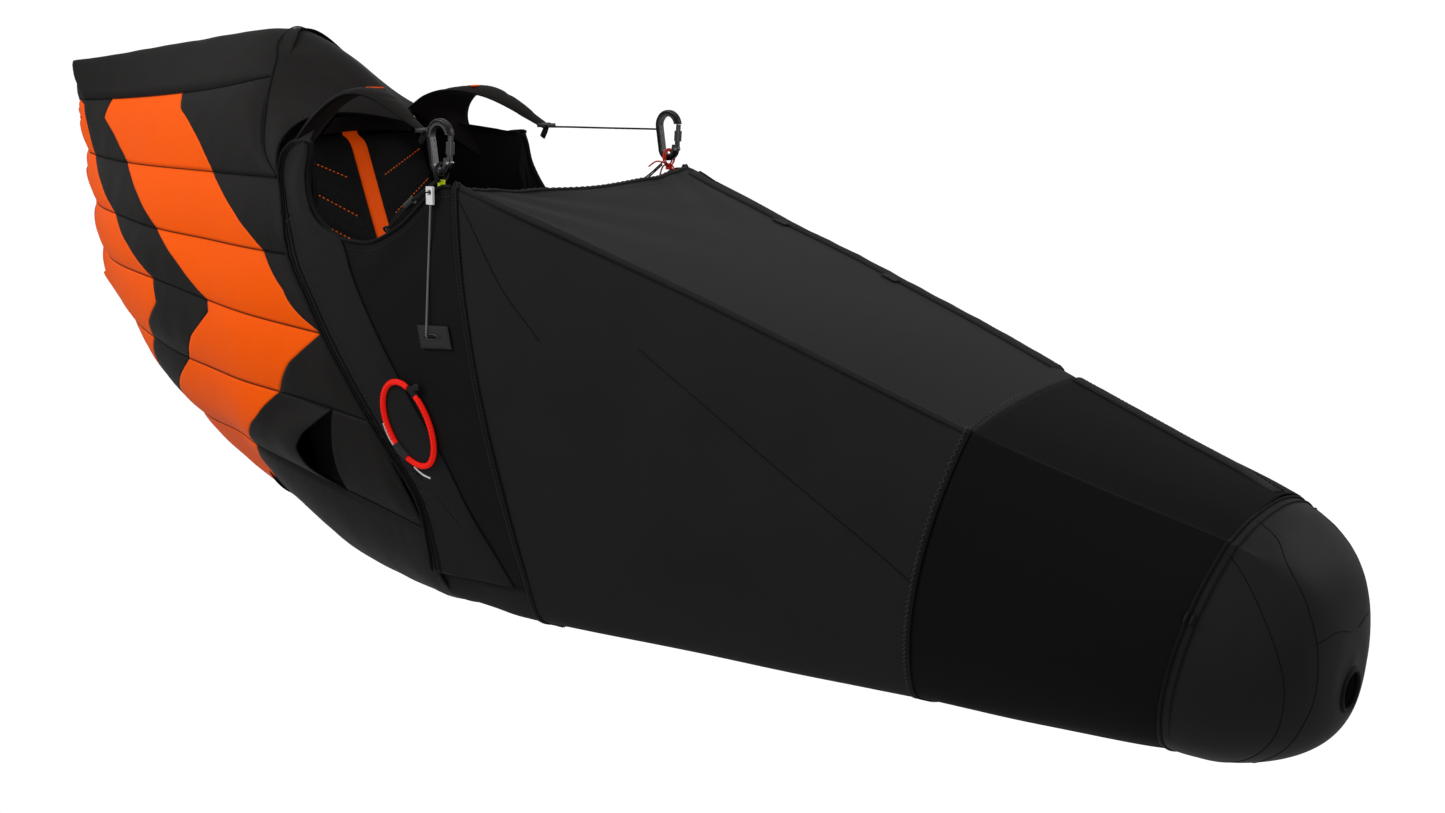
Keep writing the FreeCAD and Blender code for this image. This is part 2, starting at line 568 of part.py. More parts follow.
def speed_system():
    blocks, axles = [], []
    for name, side in (("right", RIGHT), ("left", LEFT)):
        block_shape, axle = pulley(name, side)
        blocks.append(block_shape)
        axles.append(axle)
        parts[name + "_speed_line"] = speed_line(side)
        parts[name + "_line_hook"] = line_hook(side)
    parts["pulley_blocks"] = Part.Compound(blocks)
    parts["pulley_axles"] = Part.Compound(axles)
    tube = ring_solid((BAR_X, 0, LINE_RUN_Z), (0, 1, 0), BAR_RADIUS, BAR_RADIUS - 1.5, 2 * BAR_HALF)
    caps = [rod((BAR_X, s * BAR_HALF, LINE_RUN_Z), (BAR_X, s * (BAR_HALF + 5), LINE_RUN_Z), BAR_RADIUS + 1)
            for s in (RIGHT, LEFT)]
    parts["speed_bar"] = tube.fuse(caps)


# ---------------------------------------------------------------- reserve

def reserve_parts():
    def shrunk(gap):
        return block([c + gap for c in CONTAINER_LOW], [c - gap for c in CONTAINER_HIGH])

    parts["reserve_container"] = shrunk(0.0).cut(shrunk(CONTAINER_WALL))
    parts["reserve_pack"] = shrunk(CONTAINER_WALL + PACK_GAP)
    path = shifted(COLLAR_REAR[1:6], 26)
    parts["reserve_bridle"] = band(path, 0, 20, -236, -233)

    face = hull_half(-300) + 4.0
    turn = FreeCAD.Rotation(Vector(0, 1, 0), RING_TILT)
    place = FreeCAD.Placement(Vector(RING_CENTRE[0], -face, RING_CENTRE[1]), turn)

    def oval(tall, wide, thick):
        curve = Part.Ellipse(Vector(0, 0, 0), tall, wide)
        solid = Part.Face(Part.Wire(curve.toShape())).extrude(Vector(0, 0, thick))
        upright = FreeCAD.Placement(Vector(0, 0, 0), FreeCAD.Rotation(Vector(0, 0, 1), Vector(0, -1, 0)))
        solid.Placement = upright
        box = solid.BoundBox
        if box.XLength > box.ZLength:
            quarter = FreeCAD.Rotation(Vector(0, 1, 0), 90)
            solid.Placement = FreeCAD.Placement(Vector(0, 0, 0), quarter.multiply(upright.Rotation))
        solid.Placement = place.multiply(solid.Placement)
        return solid

    ring = oval(RING_TALL, RING_WIDE, 5.0).cut(oval(RING_TALL - RING_BAND, RING_WIDE - RING_BAND, 5.0))
    parts["reserve_handle"] = ring
    pins = [rod((-66, -face - 2.5, -418), (-22, -face - 2.5, -414), 1.6),
            rod((-136, -face - 2.5, -318), (-108, -face - 2.5, -316), 1.6)]
    parts["closing_pins"] = Part.Compound(pins)


# ---------------------------------------------------------------- pod fittings

def footplate_parts():
    lean = NOSE_SEAM[2]
    plate = block((-3, -FOOT_WIDE, -FOOT_TALL), (3, FOOT_WIDE, FOOT_TALL))
    vertical = [e for e in plate.Edges if e.BoundBox.XLength > 5]
    plate = plate.makeFillet(24.0, vertical)
    boss = rod((0, -FOOT_WIDE + 10, 0), (0, FOOT_WIDE - 10, 0), 6.0)
    pins = rod((0, -FOOT_WIDE - 14, 0), (0, FOOT_WIDE + 14, 0), FOOT_PIN)
    plate = plate.fuse([boss, pins])
    turn = FreeCAD.Rotation(Vector(0, 1, 0), math.degrees(math.atan(lean)))
    plate.Placement = FreeCAD.Placement(Vector(FOOT_X, 0, FOOT_Z), turn)
    parts["footplate"] = plate
    hangers = []
    for side in (RIGHT, LEFT):
        low, high = sorted((side * (FOOT_WIDE + 4), side * (FOOT_WIDE + 12)))
        lug = block((FOOT_X - 12, low, FOOT_Z - 12), (FOOT_X + 12, high, FOOT_Z + 34))
        hole = rod((FOOT_X, low - 1, FOOT_Z), (FOOT_X, high + 1, FOOT_Z), FOOT_PIN + RUNNING_GAP)
        hangers.append(lug.cut(hole))
    parts["footplate_hangers"] = Part.Compound(hangers)


def zip_parts():
    """Slider of the long pod zip, and the two tabs that close the flap over it."""
    rear = Vector(50, 228, -14)
    front = Vector(1060, 12, -335)
    run = (front - rear).normalize()
    slider_at = front - run * 120
    body = Part.makeBox(26, 12, 6, Vector(0, -6, 0))
    puller = Part.makeBox(24, 5, 2, Vector(-22, -2.5, 3))
    slider = body.fuse(puller)
    turn = FreeCAD.Rotation(Vector(1, 0, 0), run)
    slider.Placement = FreeCAD.Placement(slider_at + Vector(0, 0, 5), turn)
    parts["zip_slider"] = slider
    tabs = []
    for x in (265.0, 480.0):
        at = rear + run * ((x - rear.x) / run.x) + Vector(0, 22, -9)
        tab = Part.makeBox(26, 10, 3, Vector(-13, -5, 0))
        tab.Placement = FreeCAD.Placement(at, turn)
        tabs.append(tab)
    parts["closure_tabs"] = Part.Compound(tabs)


harness_panels()
line_patches()
fairing_panels()
pod_panels()
seat_parts()
webbing_parts()
side_cords()
carabiner("right", RIGHT)
carabiner("left", LEFT)
speed_system()
reserve_parts()
footplate_parts()
zip_parts()

os.makedirs("parts", exist_ok=True)
for node, shape in parts.items():
    Part.Compound(shape.Solids).exportStep("parts/" + node + ".step")
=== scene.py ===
import math
import bmesh
import bpy
import numpy as np
from mathutils import Matrix, Vector
from mathutils.bvhtree import BVHTree


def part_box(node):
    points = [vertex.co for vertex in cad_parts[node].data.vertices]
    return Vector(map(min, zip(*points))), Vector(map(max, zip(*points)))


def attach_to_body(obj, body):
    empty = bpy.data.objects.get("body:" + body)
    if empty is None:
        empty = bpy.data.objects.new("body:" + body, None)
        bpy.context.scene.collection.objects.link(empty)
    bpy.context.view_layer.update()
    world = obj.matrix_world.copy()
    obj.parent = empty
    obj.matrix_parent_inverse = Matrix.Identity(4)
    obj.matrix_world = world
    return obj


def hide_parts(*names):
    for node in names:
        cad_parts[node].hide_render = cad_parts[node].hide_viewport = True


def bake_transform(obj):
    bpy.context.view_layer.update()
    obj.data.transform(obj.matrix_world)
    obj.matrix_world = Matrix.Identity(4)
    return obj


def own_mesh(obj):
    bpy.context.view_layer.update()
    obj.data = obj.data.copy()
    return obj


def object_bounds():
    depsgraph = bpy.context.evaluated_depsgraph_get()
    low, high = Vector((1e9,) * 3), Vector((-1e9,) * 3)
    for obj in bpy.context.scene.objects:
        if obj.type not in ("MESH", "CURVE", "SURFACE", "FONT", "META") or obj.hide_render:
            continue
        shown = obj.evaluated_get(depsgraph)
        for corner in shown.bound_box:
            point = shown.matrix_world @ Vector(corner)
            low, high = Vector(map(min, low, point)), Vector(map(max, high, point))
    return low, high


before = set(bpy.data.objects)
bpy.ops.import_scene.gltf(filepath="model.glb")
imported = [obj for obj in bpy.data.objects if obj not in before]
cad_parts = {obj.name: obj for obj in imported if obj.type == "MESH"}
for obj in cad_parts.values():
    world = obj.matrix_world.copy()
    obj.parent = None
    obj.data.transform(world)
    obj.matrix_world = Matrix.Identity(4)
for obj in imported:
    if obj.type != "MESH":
        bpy.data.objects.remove(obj)        # bodies, nodes, joints and the record
cad_low, cad_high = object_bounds()

# Paragliding pod harness, in metres. +X to the feet, +Y to the pilot's left, +Z up.
RIGHT, LEFT = -1, 1
SIDE_LABEL = {RIGHT: "right", LEFT: "left"}
HANG_HALF = 0.24                 # the carabiners hang this far from the centre plane
CLOTH = 0.0016                   # thickness of a cloth sheet
LIFT = 0.0012                    # trims lie this far above the cloth

# side-view seam lines, (x, z)
ZIP_LINE = [(0.025, -0.014), (0.046, -0.12), (0.064, -0.215), (0.08, -0.33), (0.088, -0.43), (0.086, -0.54),
            (0.075, -0.61), (0.06, -0.66)]
COLLAR_REAR = [(-0.352, -0.019), (-0.334, -0.067), (-0.303, -0.13), (-0.258, -0.186), (-0.196, -0.272),
               (-0.135, -0.358), (-0.078, -0.45), (-0.085, -0.53), (-0.105, -0.59)]
COLLAR_FRONT = [(-0.182, -0.094), (-0.149, -0.151), (-0.068, -0.277), (-0.008, -0.38), (0.02, -0.455),
                (0.05, -0.53), (0.068, -0.59)]
ARM_RIM = [(-0.262, -0.05), (-0.23, -0.078), (-0.182, -0.094), (-0.12, -0.094), (-0.06, -0.068),
           (-0.014, -0.028), (0.006, -0.015), (0.024, -0.014)]

# cross-sections of the body: rim, widest place, lower bend and keel, as half-width and height
HULL_SECTIONS = [
    (-0.43, (0.204, 0.07), (0.236, -0.25), (0.124, -0.53), -0.6),
    (-0.15, (0.222, 0.07), (0.258, -0.3), (0.158, -0.604), -0.656),
    (0.0, (0.222, 0.07), (0.258, -0.3), (0.158, -0.604), -0.658),
    (0.15, (0.222, 0.07), (0.258, -0.3), (0.158, -0.604), -0.658),
]
# pod sections: x at the crease, lean, crease, widest place, lower bend, keel, and crown of the deck
POD_SECTIONS = [
    (0.4, 0.12, (0.201, -0.14), (0.23, -0.37), (0.14, -0.61), -0.654, 0.006),
    (0.77, 0.28, (0.162, -0.273), (0.19, -0.445), (0.12, -0.61), -0.648, 0.019),
    (0.92, 0.3, (0.143, -0.322), (0.18, -0.46), (0.12, -0.604), -0.646, 0.024),
    (1.07, 0.29, (0.118, -0.366), (0.165, -0.47), (0.118, -0.6), -0.642, 0.03),
    (1.13, 0.22, (0.095, -0.395), (0.142, -0.484), (0.102, -0.592), -0.63, 0.024),
    (1.172, 0.14, (0.066, -0.43), (0.104, -0.5), (0.076, -0.578), -0.606, 0.018),
    (1.192, 0.06, (0.034, -0.47), (0.056, -0.515), (0.04, -0.56), -0.574, 0.01),
    (1.198, 0.02, (0.004, -0.508), (0.007, -0.518), (0.005, -0.526), -0.528, 0.002),
]
# fairing sections: x, lean, crest, shoulder, flank, widest place, lower flank, lower bend, keel
FAIRING_SECTIONS = [
    (-0.05, 0.0, 0.0, (0.1, -0.012), (0.215, -0.06), (0.262, -0.2), (0.236, -0.41), (0.158, -0.604), -0.658),
    (-0.29, 0.0, 0.062, (0.1, 0.045), (0.212, -0.03), (0.252, -0.2), (0.232, -0.405), (0.14, -0.57), -0.632),
    (-0.42, 0.0, 0.146, (0.068, 0.12), (0.186, 0.01), (0.24, -0.2), (0.222, -0.4), (0.122, -0.532), -0.603),
    (-0.55, -0.05, 0.199, (0.044, 0.18), (0.148, 0.05), (0.212, -0.2), (0.19, -0.37), (0.105, -0.482),
     -0.572),
    (-0.75, -0.1, 0.184, (0.028, 0.17), (0.096, 0.06), (0.165, -0.15), (0.15, -0.32), (0.075, -0.43), -0.49),
    (-0.95, -0.14, 0.16, (0.015, 0.15), (0.046, 0.06), (0.088, -0.1), (0.08, -0.24), (0.035, -0.33), -0.362),
    (-1.095, -0.18, 0.142, (0.005, 0.138), (0.01, 0.06), (0.012, -0.05), (0.01, -0.15), (0.006, -0.222),
     -0.24),
    (-1.104, -0.18, 0.139, (0.001, 0.135), (0.001, 0.06), (0.001, -0.05), (0.001, -0.15),
     (0.001, -0.219), -0.237),
]


# ---------------------------------------------------------------- smooth skins

def catmull_weights(t):
    return np.stack([(-t + 2 * t**2 - t**3) / 2, (2 - 5 * t**2 + 3 * t**3) / 2,
                     (t + 4 * t**2 - 3 * t**3) / 2, (t**3 - t**2) / 2], -1)


class Skin:
    """Smooth skin through cross-sections. u counts sections; v counts ring points from the top centre
    round the right side to the keel, and is negative on the left side."""

    def __init__(self, rows):
        grid = np.array(rows, float)
        self.size = (grid.shape[0] - 1, grid.shape[1] - 1)
        grid = np.concatenate([2 * grid[:1] - grid[1:2], grid, 2 * grid[-1:] - grid[-2:-1]])
        mirror = np.array([1, -1, 1])
        self.grid = np.concatenate([grid[:, 1:2] * mirror, grid, grid[:, -2:-1] * mirror], 1)
        steps_u = np.linspace(0, self.size[0], self.size[0] * 24 + 1)
        steps_v = np.linspace(0, self.size[1], self.size[1] * 24 + 1)
        self.table_uv = np.stack(np.meshgrid(steps_u, steps_v, indexing="ij"), -1).reshape(-1, 2)
        self.table_xz = self.point(self.table_uv[:, 0], self.table_uv[:, 1])[:, [0, 2]]

    def point(self, u, v):
        u, v = np.broadcast_arrays(np.asarray(u, float), np.asarray(v, float))
        ring = self.size[1]
        side = np.where(v < 0, 1.0, -1.0)
        v = np.abs(v)
        side = np.where(v > ring, -side, side)
        v = np.where(v > ring, 2 * ring - v, v)
        u = np.clip(u, 0, self.size[0])
        i = np.minimum(u.astype(int), self.size[0] - 1)
        j = np.minimum(v.astype(int), ring - 1)
        wu, wv = catmull_weights(u - i), catmull_weights(v - j)
        out = np.zeros(u.shape + (3,))
        for a in range(4):
            for b in range(4):
                out += (wu[..., a] * wv[..., b])[..., None] * self.grid[i + a, j + b]
        out[..., 1] *= side
        return out

    def normal(self, u, v):
        """Outward unit normal."""
        step = 1e-3
        along = self.point(np.minimum(u + step, self.size[0]), v) - self.point(np.maximum(u - step, 0), v)
        around = self.point(u, v + step) - self.point(u, v - step)
        normal = np.cross(along, around)
        length = np.linalg.norm(normal, axis=-1, keepdims=True)
        return normal / np.maximum(length, 1e-12) * self.outward

    outward = -1.0            # sign that turns the normals outwards; sections here run towards +X

    def find(self, xz):
        """(u, v) on the right side of the points whose side view is at xz."""
        xz = np.atleast_2d(np.array(xz, float))
        found = []
        for target in xz:
            best = np.argmin(((self.table_xz - target) ** 2).sum(1))
            uv = self.table_uv[best].copy()
            for _ in range(6):
                here = self.point(uv[0], uv[1])[[0, 2]]
                step = 1e-3
                du = (self.point(uv[0] + step, uv[1]) - self.point(uv[0] - step, uv[1]))[[0, 2]]
                dv = (self.point(uv[0], uv[1] + step) - self.point(uv[0], uv[1] - step))[[0, 2]]
                jacobian = np.stack([du / (2 * step), dv / (2 * step)], 1)
                if abs(np.linalg.det(jacobian)) < 1e-9:
                    break
                move = np.linalg.solve(jacobian, target - here)
                uv = uv + np.clip(move, -0.3, 0.3)
                uv = np.clip(uv, 0, self.size)
            found.append(uv)
        return np.array(found)


def circle_points(start, middle, end, count):
    """count + 1 points on the circle through three points of a plane, from start to end."""
    (ax, ay), (bx, by), (cx, cy) = start, middle, end
    d = 2 * (ax * (by - cy) + bx * (cy - ay) + cx * (ay - by))
    sa, sb, sc = ax * ax + ay * ay, bx * bx + by * by, cx * cx + cy * cy
    ux = (sa * (by - cy) + sb * (cy - ay) + sc * (ay - by)) / d
    uy = (sa * (cx - bx) + sb * (ax - cx) + sc * (bx - ax)) / d
    radius = math.hypot(ax - ux, ay - uy)
    first = math.atan2(ay - uy, ax - ux)
    last = math.atan2(cy - uy, cx - ux)
    middle_angle = math.atan2(by - uy, bx - ux)
    sweep = (last - first) % (2 * math.pi)
    if (middle_angle - first) % (2 * math.pi) > sweep:
        sweep -= 2 * math.pi
    angles = [first + sweep * k / count for k in range(count + 1)]
    return [(ux + radius * math.cos(angle), uy + radius * math.sin(angle)) for angle in angles]


CREASE, BEND, KEEL = 3, 8, 11       # ring positions on the body's skins


def body_ring(crease, wide, low, keel, crown):
    """Half ring of a body section: crowned deck, bowed side and round keel."""
    width, height = crease
    ring = [(share * width, height + rise * crown) for share, rise in ((0.0, 1), (0.55, 0.72), (0.92, 0.12))]
    ring += circle_points(crease, wide, low, BEND - CREASE)
    ring += circle_points(low, (0.0, keel), (-low[0], low[1]), 2 * (KEEL - BEND))[1:KEEL - BEND + 1]
    return ring


def curve_x(curve, z):
    """x of a seam line at a height; the line runs downwards."""
    heights = [-p[1] for p in curve]
    return np.interp(-z, heights, [p[0] for p in curve])


def body_skin():
    rows = []
    for x, rim, wide, low, keel in HULL_SECTIONS:
        rows.append([(x, y, z) for y, z in body_ring(rim, wide, low, keel, 0.004)])
    return Skin(rows)


ZIP_WIDTH = 0.009
ZIP_LAP = 0.003                   # the pod starts this far under the front edge of its zip strip


def pod_skin():
    first = body_ring((0.2452, -0.016), (0.258, -0.3), (0.158, -0.604), -0.658, -0.012)
    rows = []
    start = []
    for index, (y, z) in enumerate(first):
        x = float(curve_x(ZIP_LINE, z)) + ZIP_WIDTH - ZIP_LAP
        if index < CREASE:
            x = 0.032 + 0.03 * (1 - (y / 0.2452) ** 2)
        start.append((x, y, z))
    rows.append(start)
    for x, lean, crease, wide, low, keel, crown in POD_SECTIONS:
        ring = body_ring(crease, wide, low, keel, crown)
        rows.append([(x + lean * (z - crease[1]), y, z) for y, z in ring])
    return Skin(rows)


def fairing_skin():
    rows = []
    for x, lean, crest, shoulder, flank, wide, low_flank, low, keel in FAIRING_SECTIONS:
        ring = [(0.0, crest), shoulder, flank, wide, low_flank, low, (0.0, keel)]
        rows.append([(x + lean * (z - wide[1]), y, z) for y, z in ring])
    skin = Skin(rows)
    skin.outward = 1.0        # these sections run towards -X
    return skin


BODY = body_skin()
POD = pod_skin()
FAIRING = fairing_skin()


# ---------------------------------------------------------------- bodies

BENDING = "harness to pod"           # for cloth that is sewn to the harness and reaches into the pod in front; such pieces are only baked in place


def attach(piece, body, stands_for=None):
    """Fixes a piece to its body, or bakes it in place for BENDING, and hides the CAD piece that it stands
    for, if it has one.
    """
    if body == BENDING:
        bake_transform(piece)
    else:
        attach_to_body(piece, body)
    if stands_for:
        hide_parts(stands_for)


# ---------------------------------------------------------------- small maths

def above(height):
    """Step straight up."""
    return np.array([0, 0, height])


def full_turn(count):
    """Angles evenly round a circle."""
    return np.linspace(0, 2 * math.pi, count, endpoint=False)


def smooth(t):
    t = np.clip(t, 0, 1)
    return t * t * (3 - 2 * t)


def resample(points, count, bend=True):
    """count points evenly along a line through the given points, smooth when bend is true."""
    points = np.array(points, float)
    if bend and len(points) > 2:
        padded = np.vstack([2 * points[0] - points[1], points, 2 * points[-1] - points[-2]])
        t = np.linspace(0, len(points) - 1, (len(points) - 1) * 24 + 1)
        i = np.minimum(t.astype(int), len(points) - 2)
        weights = catmull_weights(t - i)
        points = sum(weights[:, a, None] * padded[i + a] for a in range(4))
    lengths = np.concatenate([[0], np.cumsum(np.linalg.norm(np.diff(points, axis=0), axis=1))])
    at = np.linspace(0, lengths[-1], count)
    return np.stack([np.interp(at, lengths, points[:, k]) for k in range(points.shape[1])], 1)


def ripple(points, scale, seed):
    """Smooth, repeatable waviness between -1 and 1, from a few crossed sines."""
    total = 0
    for k in range(4):
        angle = seed * 1.7 + k * 2.4
        direction = np.array([math.cos(angle), math.sin(angle * 1.3), math.sin(angle)])
        total = total + np.sin(points @ direction * scale * (1 + 0.6 * k) + seed + k * 1.9)
    return total / 4


# ---------------------------------------------------------------- mesh helpers

def new_mesh(name, vertices, faces, material):
    mesh = bpy.data.meshes.new(name)
    mesh.from_pydata([tuple(v) for v in vertices], [], faces)
    mesh.validate()
    mesh.materials.append(material)
    mesh.polygons.foreach_set("use_smooth", [True] * len(mesh.polygons))
    mesh.update()
    piece = bpy.data.objects.new(name, mesh)
    bpy.context.scene.collection.objects.link(piece)
    return piece


def apply_modifiers(piece):
    depsgraph = bpy.context.evaluated_depsgraph_get()
    done = bpy.data.meshes.new_from_object(piece.evaluated_get(depsgraph))
    piece.modifiers.clear()
    old = piece.data
    piece.data = done
    bpy.data.meshes.remove(old)
    return piece


def thicken(piece, thickness=CLOTH):
    modifier = piece.modifiers.new("cloth", "SOLIDIFY")
    modifier.thickness = thickness
    modifier.offset = -1.0
    modifier.use_even_offset = False
    return apply_modifiers(piece)


def grid_faces(rows, columns, wrap=False):
    faces = []
    for i in range(rows - 1):
        for j in range(columns - (0 if wrap else 1)):
            k = (j + 1) % columns
            faces.append((i * columns + j, i * columns + k, (i + 1) * columns + k, (i + 1) * columns + j))
    return faces


def flip_outward(piece, centre):
    """Turns the faces so that most of them look away from a centre point."""
    total = 0.0
    for polygon in piece.data.polygons:
        total += (polygon.center - Vector(centre)).dot(polygon.normal) * polygon.area
    if total < 0:
        piece.data.flip_normals()


def sheet(name, points, material, centre=(0, 0, -0.2)):
    """Cloth sheet from a grid of points, turned outwards and given its thickness."""
    rows, columns = points.shape[:2]
    piece = new_mesh(name, points.reshape(-1, 3), grid_faces(rows, columns), material)
    flip_outward(piece, centre)
    return thicken(piece)


def tube(name, path, radius, material, sides=10, closed=False, flat=1.0, up=(0, 0, 1)):
    """Round or flattened cord along a path."""
    path = np.array(path, float)
    count = len(path)
    if closed:
        tangents = np.roll(path, -1, 0) - np.roll(path, 1, 0)
    else:
        tangents = np.gradient(path, axis=0)
    tangents /= np.linalg.norm(tangents, axis=1, keepdims=True)
    side = np.cross(tangents[0], np.array(up, float))
    if np.linalg.norm(side) < 1e-6:
        side = np.cross(tangents[0], (1.0, 0.3, 0.0))
    vertices = []
    for point, tangent in zip(path, tangents):
        side = side - tangent * (side @ tangent)
        side /= np.linalg.norm(side)
        lift = np.cross(side, tangent)
        for k in range(sides):
            angle = 2 * math.pi * k / sides
            vertices.append(point + side * radius * math.cos(angle) + lift * radius * flat * math.sin(angle))
    faces = grid_faces(count, sides, wrap=True)
    if closed:
        faces += [((count - 1) * sides + j, (count - 1) * sides + (j + 1) % sides, (j + 1) % sides, j)
                  for j in range(sides)]
    else:
        faces += [tuple(range(sides))[::-1], tuple((count - 1) * sides + j for j in range(sides))]
    piece = new_mesh(name, vertices, faces, material)
    fix_normals(piece)
    return piece


def fix_normals(piece):
    work = bmesh.new()
    work.from_mesh(piece.data)
    bmesh.ops.recalc_face_normals(work, faces=work.faces)
    work.to_mesh(piece.data)
    work.free()


def join(name, pieces):
    """One piece from several; each keeps its own materials."""
    work = bmesh.new()
    materials = []
    for piece in pieces:
        offset = len(materials)
        materials += list(piece.data.materials)
        count = len(work.faces)
        work.from_mesh(piece.data)
        work.faces.ensure_lookup_table()
        for face in work.faces[count:]:
            face.material_index += offset
    mesh = bpy.data.meshes.new(name)
    work.to_mesh(mesh)
    work.free()
    for material in materials:
        mesh.materials.append(material)
    for piece in pieces:
        bpy.data.objects.remove(piece)
    joined = bpy.data.objects.new(name, mesh)
    bpy.context.scene.collection.objects.link(joined)
    return joined


def rounded_box(name, low, high, radius, material, segments=3):
    work = bmesh.new()
    bmesh.ops.create_cube(work, size=1.0)
    low, high = Vector(low), Vector(high)
    for vertex in work.verts:
        vertex.co = Vector([low[k] if vertex.co[k] < 0 else high[k] for k in range(3)])
    bmesh.ops.bevel(work, geom=work.edges[:], offset=radius, segments=segments, affect="EDGES", profile=0.5)
    mesh = bpy.data.meshes.new(name)
    work.to_mesh(mesh)
    work.free()
    mesh.materials.append(material)
    mesh.polygons.foreach_set("use_smooth", [True] * len(mesh.polygons))
    piece = bpy.data.objects.new(name, mesh)
    bpy.context.scene.collection.objects.link(piece)
    return piece


# ---------------------------------------------------------------- materials

class Nodes:
    """Short way to write a node tree."""

    def __init__(self, name):
        self.material = bpy.data.materials.new(name)
        self.material.use_nodes = True
        self.tree = self.material.node_tree
        self.tree.nodes.clear()
        self.output = self.tree.nodes.new("ShaderNodeOutputMaterial")
        self.shader = self.tree.nodes.new("ShaderNodeBsdfPrincipled")
        self.link(self.shader.outputs[0], self.output.inputs[0])
        self.place = self.tree.nodes.new("ShaderNodeTexCoord").outputs["Object"]

    def link(self, source, target):
        self.tree.links.new(source, target)

    def put(self, socket, value):
        if hasattr(value, "is_linked"):
            self.link(value, socket)
        else:
            socket.default_value = value

    def math(self, operation, a, b=0.0, c=0.0):
        node = self.tree.nodes.new("ShaderNodeMath")
        node.operation = operation
        for socket, value in zip(node.inputs, (a, b, c)):
            self.put(socket, value)
        return node.outputs[0]

    def noise(self, scale, detail=3.0, rough=0.5, stretch=(1, 1, 1)):
        mapping = self.tree.nodes.new("ShaderNodeMapping")
        mapping.inputs["Scale"].default_value = stretch
        self.link(self.place, mapping.inputs[0])
        node = self.tree.nodes.new("ShaderNodeTexNoise")
        node.inputs["Scale"].default_value = scale
        node.inputs["Detail"].default_value = detail
        node.inputs["Roughness"].default_value = rough
        self.link(mapping.outputs[0], node.inputs["Vector"])
        return node.outputs[0]

    def wave(self, direction, period):
        """Stripes across a direction, one every period metres, between 0 and 1."""
        dot = self.tree.nodes.new("ShaderNodeVectorMath")
        dot.operation = "DOT_PRODUCT"
        self.link(self.place, dot.inputs[0])
        length = math.sqrt(sum(c * c for c in direction))
        dot.inputs[1].default_value = [c / length for c in direction]
        angle = self.math("MULTIPLY", dot.outputs["Value"], 2 * math.pi / period)
        return self.math("MULTIPLY_ADD", self.math("SINE", angle), 0.5, 0.5)

    def mix(self, factor, a, b):
        node = self.tree.nodes.new("ShaderNodeMix")
        node.data_type = "RGBA"
        self.put(node.inputs[0], factor)
        for socket, value in ((node.inputs[6], a), (node.inputs[7], b)):
            if hasattr(value, "is_linked"):
                self.link(value, socket)
            else:
                socket.default_value = tuple(value) + (1.0,)
        return node.outputs[2]

    def bump(self, height, distance, strength=1.0):
        node = self.tree.nodes.new("ShaderNodeBump")
        node.inputs["Strength"].default_value = strength
        node.inputs["Distance"].default_value = distance
        self.link(height, node.inputs["Height"])
        self.link(node.outputs[0], self.shader.inputs["Normal"])

    def surface(self, color, roughness, metallic=0.0, sheen=0.0, specular=0.5, coat=0.0):
        inputs = self.shader.inputs
        self.put(inputs["Base Color"], color if hasattr(color, "is_linked") else tuple(color) + (1.0,))
        self.put(inputs["Roughness"], roughness)
        self.put(inputs["Metallic"], metallic)
        inputs["Specular IOR Level"].default_value = specular
        inputs["Sheen Weight"].default_value = sheen
        inputs["Sheen Roughness"].default_value = 0.4
        inputs["Coat Weight"].default_value = coat
        return self.material


def grey(level):
    return (level, level, level)


def scaled(color, factor):
    return tuple(min(c * factor, 1.0) for c in color)


WARP, WEFT = (1, 0, 0.15), (-0.15, 0.25, 1)       # directions across the threads


def cloth_material(name, color, thread=0.0011, ripstop=0.0, roughness=0.62, sheen=0.02, wear=0.25):
    """Woven cloth: fine crossed threads, optional ripstop grid, faint crumple and colour drift."""
    n = Nodes(name)
    weave = n.math("MULTIPLY", n.wave(WARP, thread), n.wave(WEFT, thread))
    drift = n.noise(9.0, 4.0, 0.55)
    fold = n.noise(24.0, 3.0, 0.5, (1, 1, 0.6))
    height = n.math("MULTIPLY", weave, 0.12)
    height = n.math("ADD", height, n.math("MULTIPLY", fold, 0.6))
    shade = n.mix(drift, scaled(color, 1.0 - wear), scaled(color, 1.0 + wear * 0.6))
    hollow = n.mix(drift, scaled(color, 0.75), scaled(color, 0.9))
    shade = n.mix(n.math("MULTIPLY", weave, 0.35), shade, hollow)
    if ripstop:
        lines = n.math("MAXIMUM", *[n.math("POWER", n.wave(way, ripstop), 24.0) for way in (WARP, WEFT)])
        height = n.math("ADD", height, n.math("MULTIPLY", lines, 0.18))
        shade = n.mix(n.math("MULTIPLY", lines, 0.3), shade, scaled(color, 1.5))
    n.bump(height, 0.001, 0.6)
    rough = n.math("MULTIPLY_ADD", drift, 0.16, roughness - 0.08)
    return n.surface(shade, rough, sheen=sheen, specular=0.05)


def mesh_material(name, color):
    """Spacer mesh of a padded part: a fine honeycomb of holes."""
    n = Nodes(name)
    voronoi = n.tree.nodes.new("ShaderNodeTexVoronoi")
    voronoi.inputs["Scale"].default_value = 420.0
    n.link(n.place, voronoi.inputs["Vector"])
    hole = n.math("GREATER_THAN", 0.32, voronoi.outputs["Distance"])
    drift = n.noise(14.0)
    shade = n.mix(hole, n.mix(drift, scaled(color, 0.8), scaled(color, 1.3)), scaled(color, 0.35))
    n.bump(n.math("MULTIPLY", hole, -1.0), 0.0006, 0.5)
    return n.surface(shade, 0.85, sheen=0.03, specular=0.08)


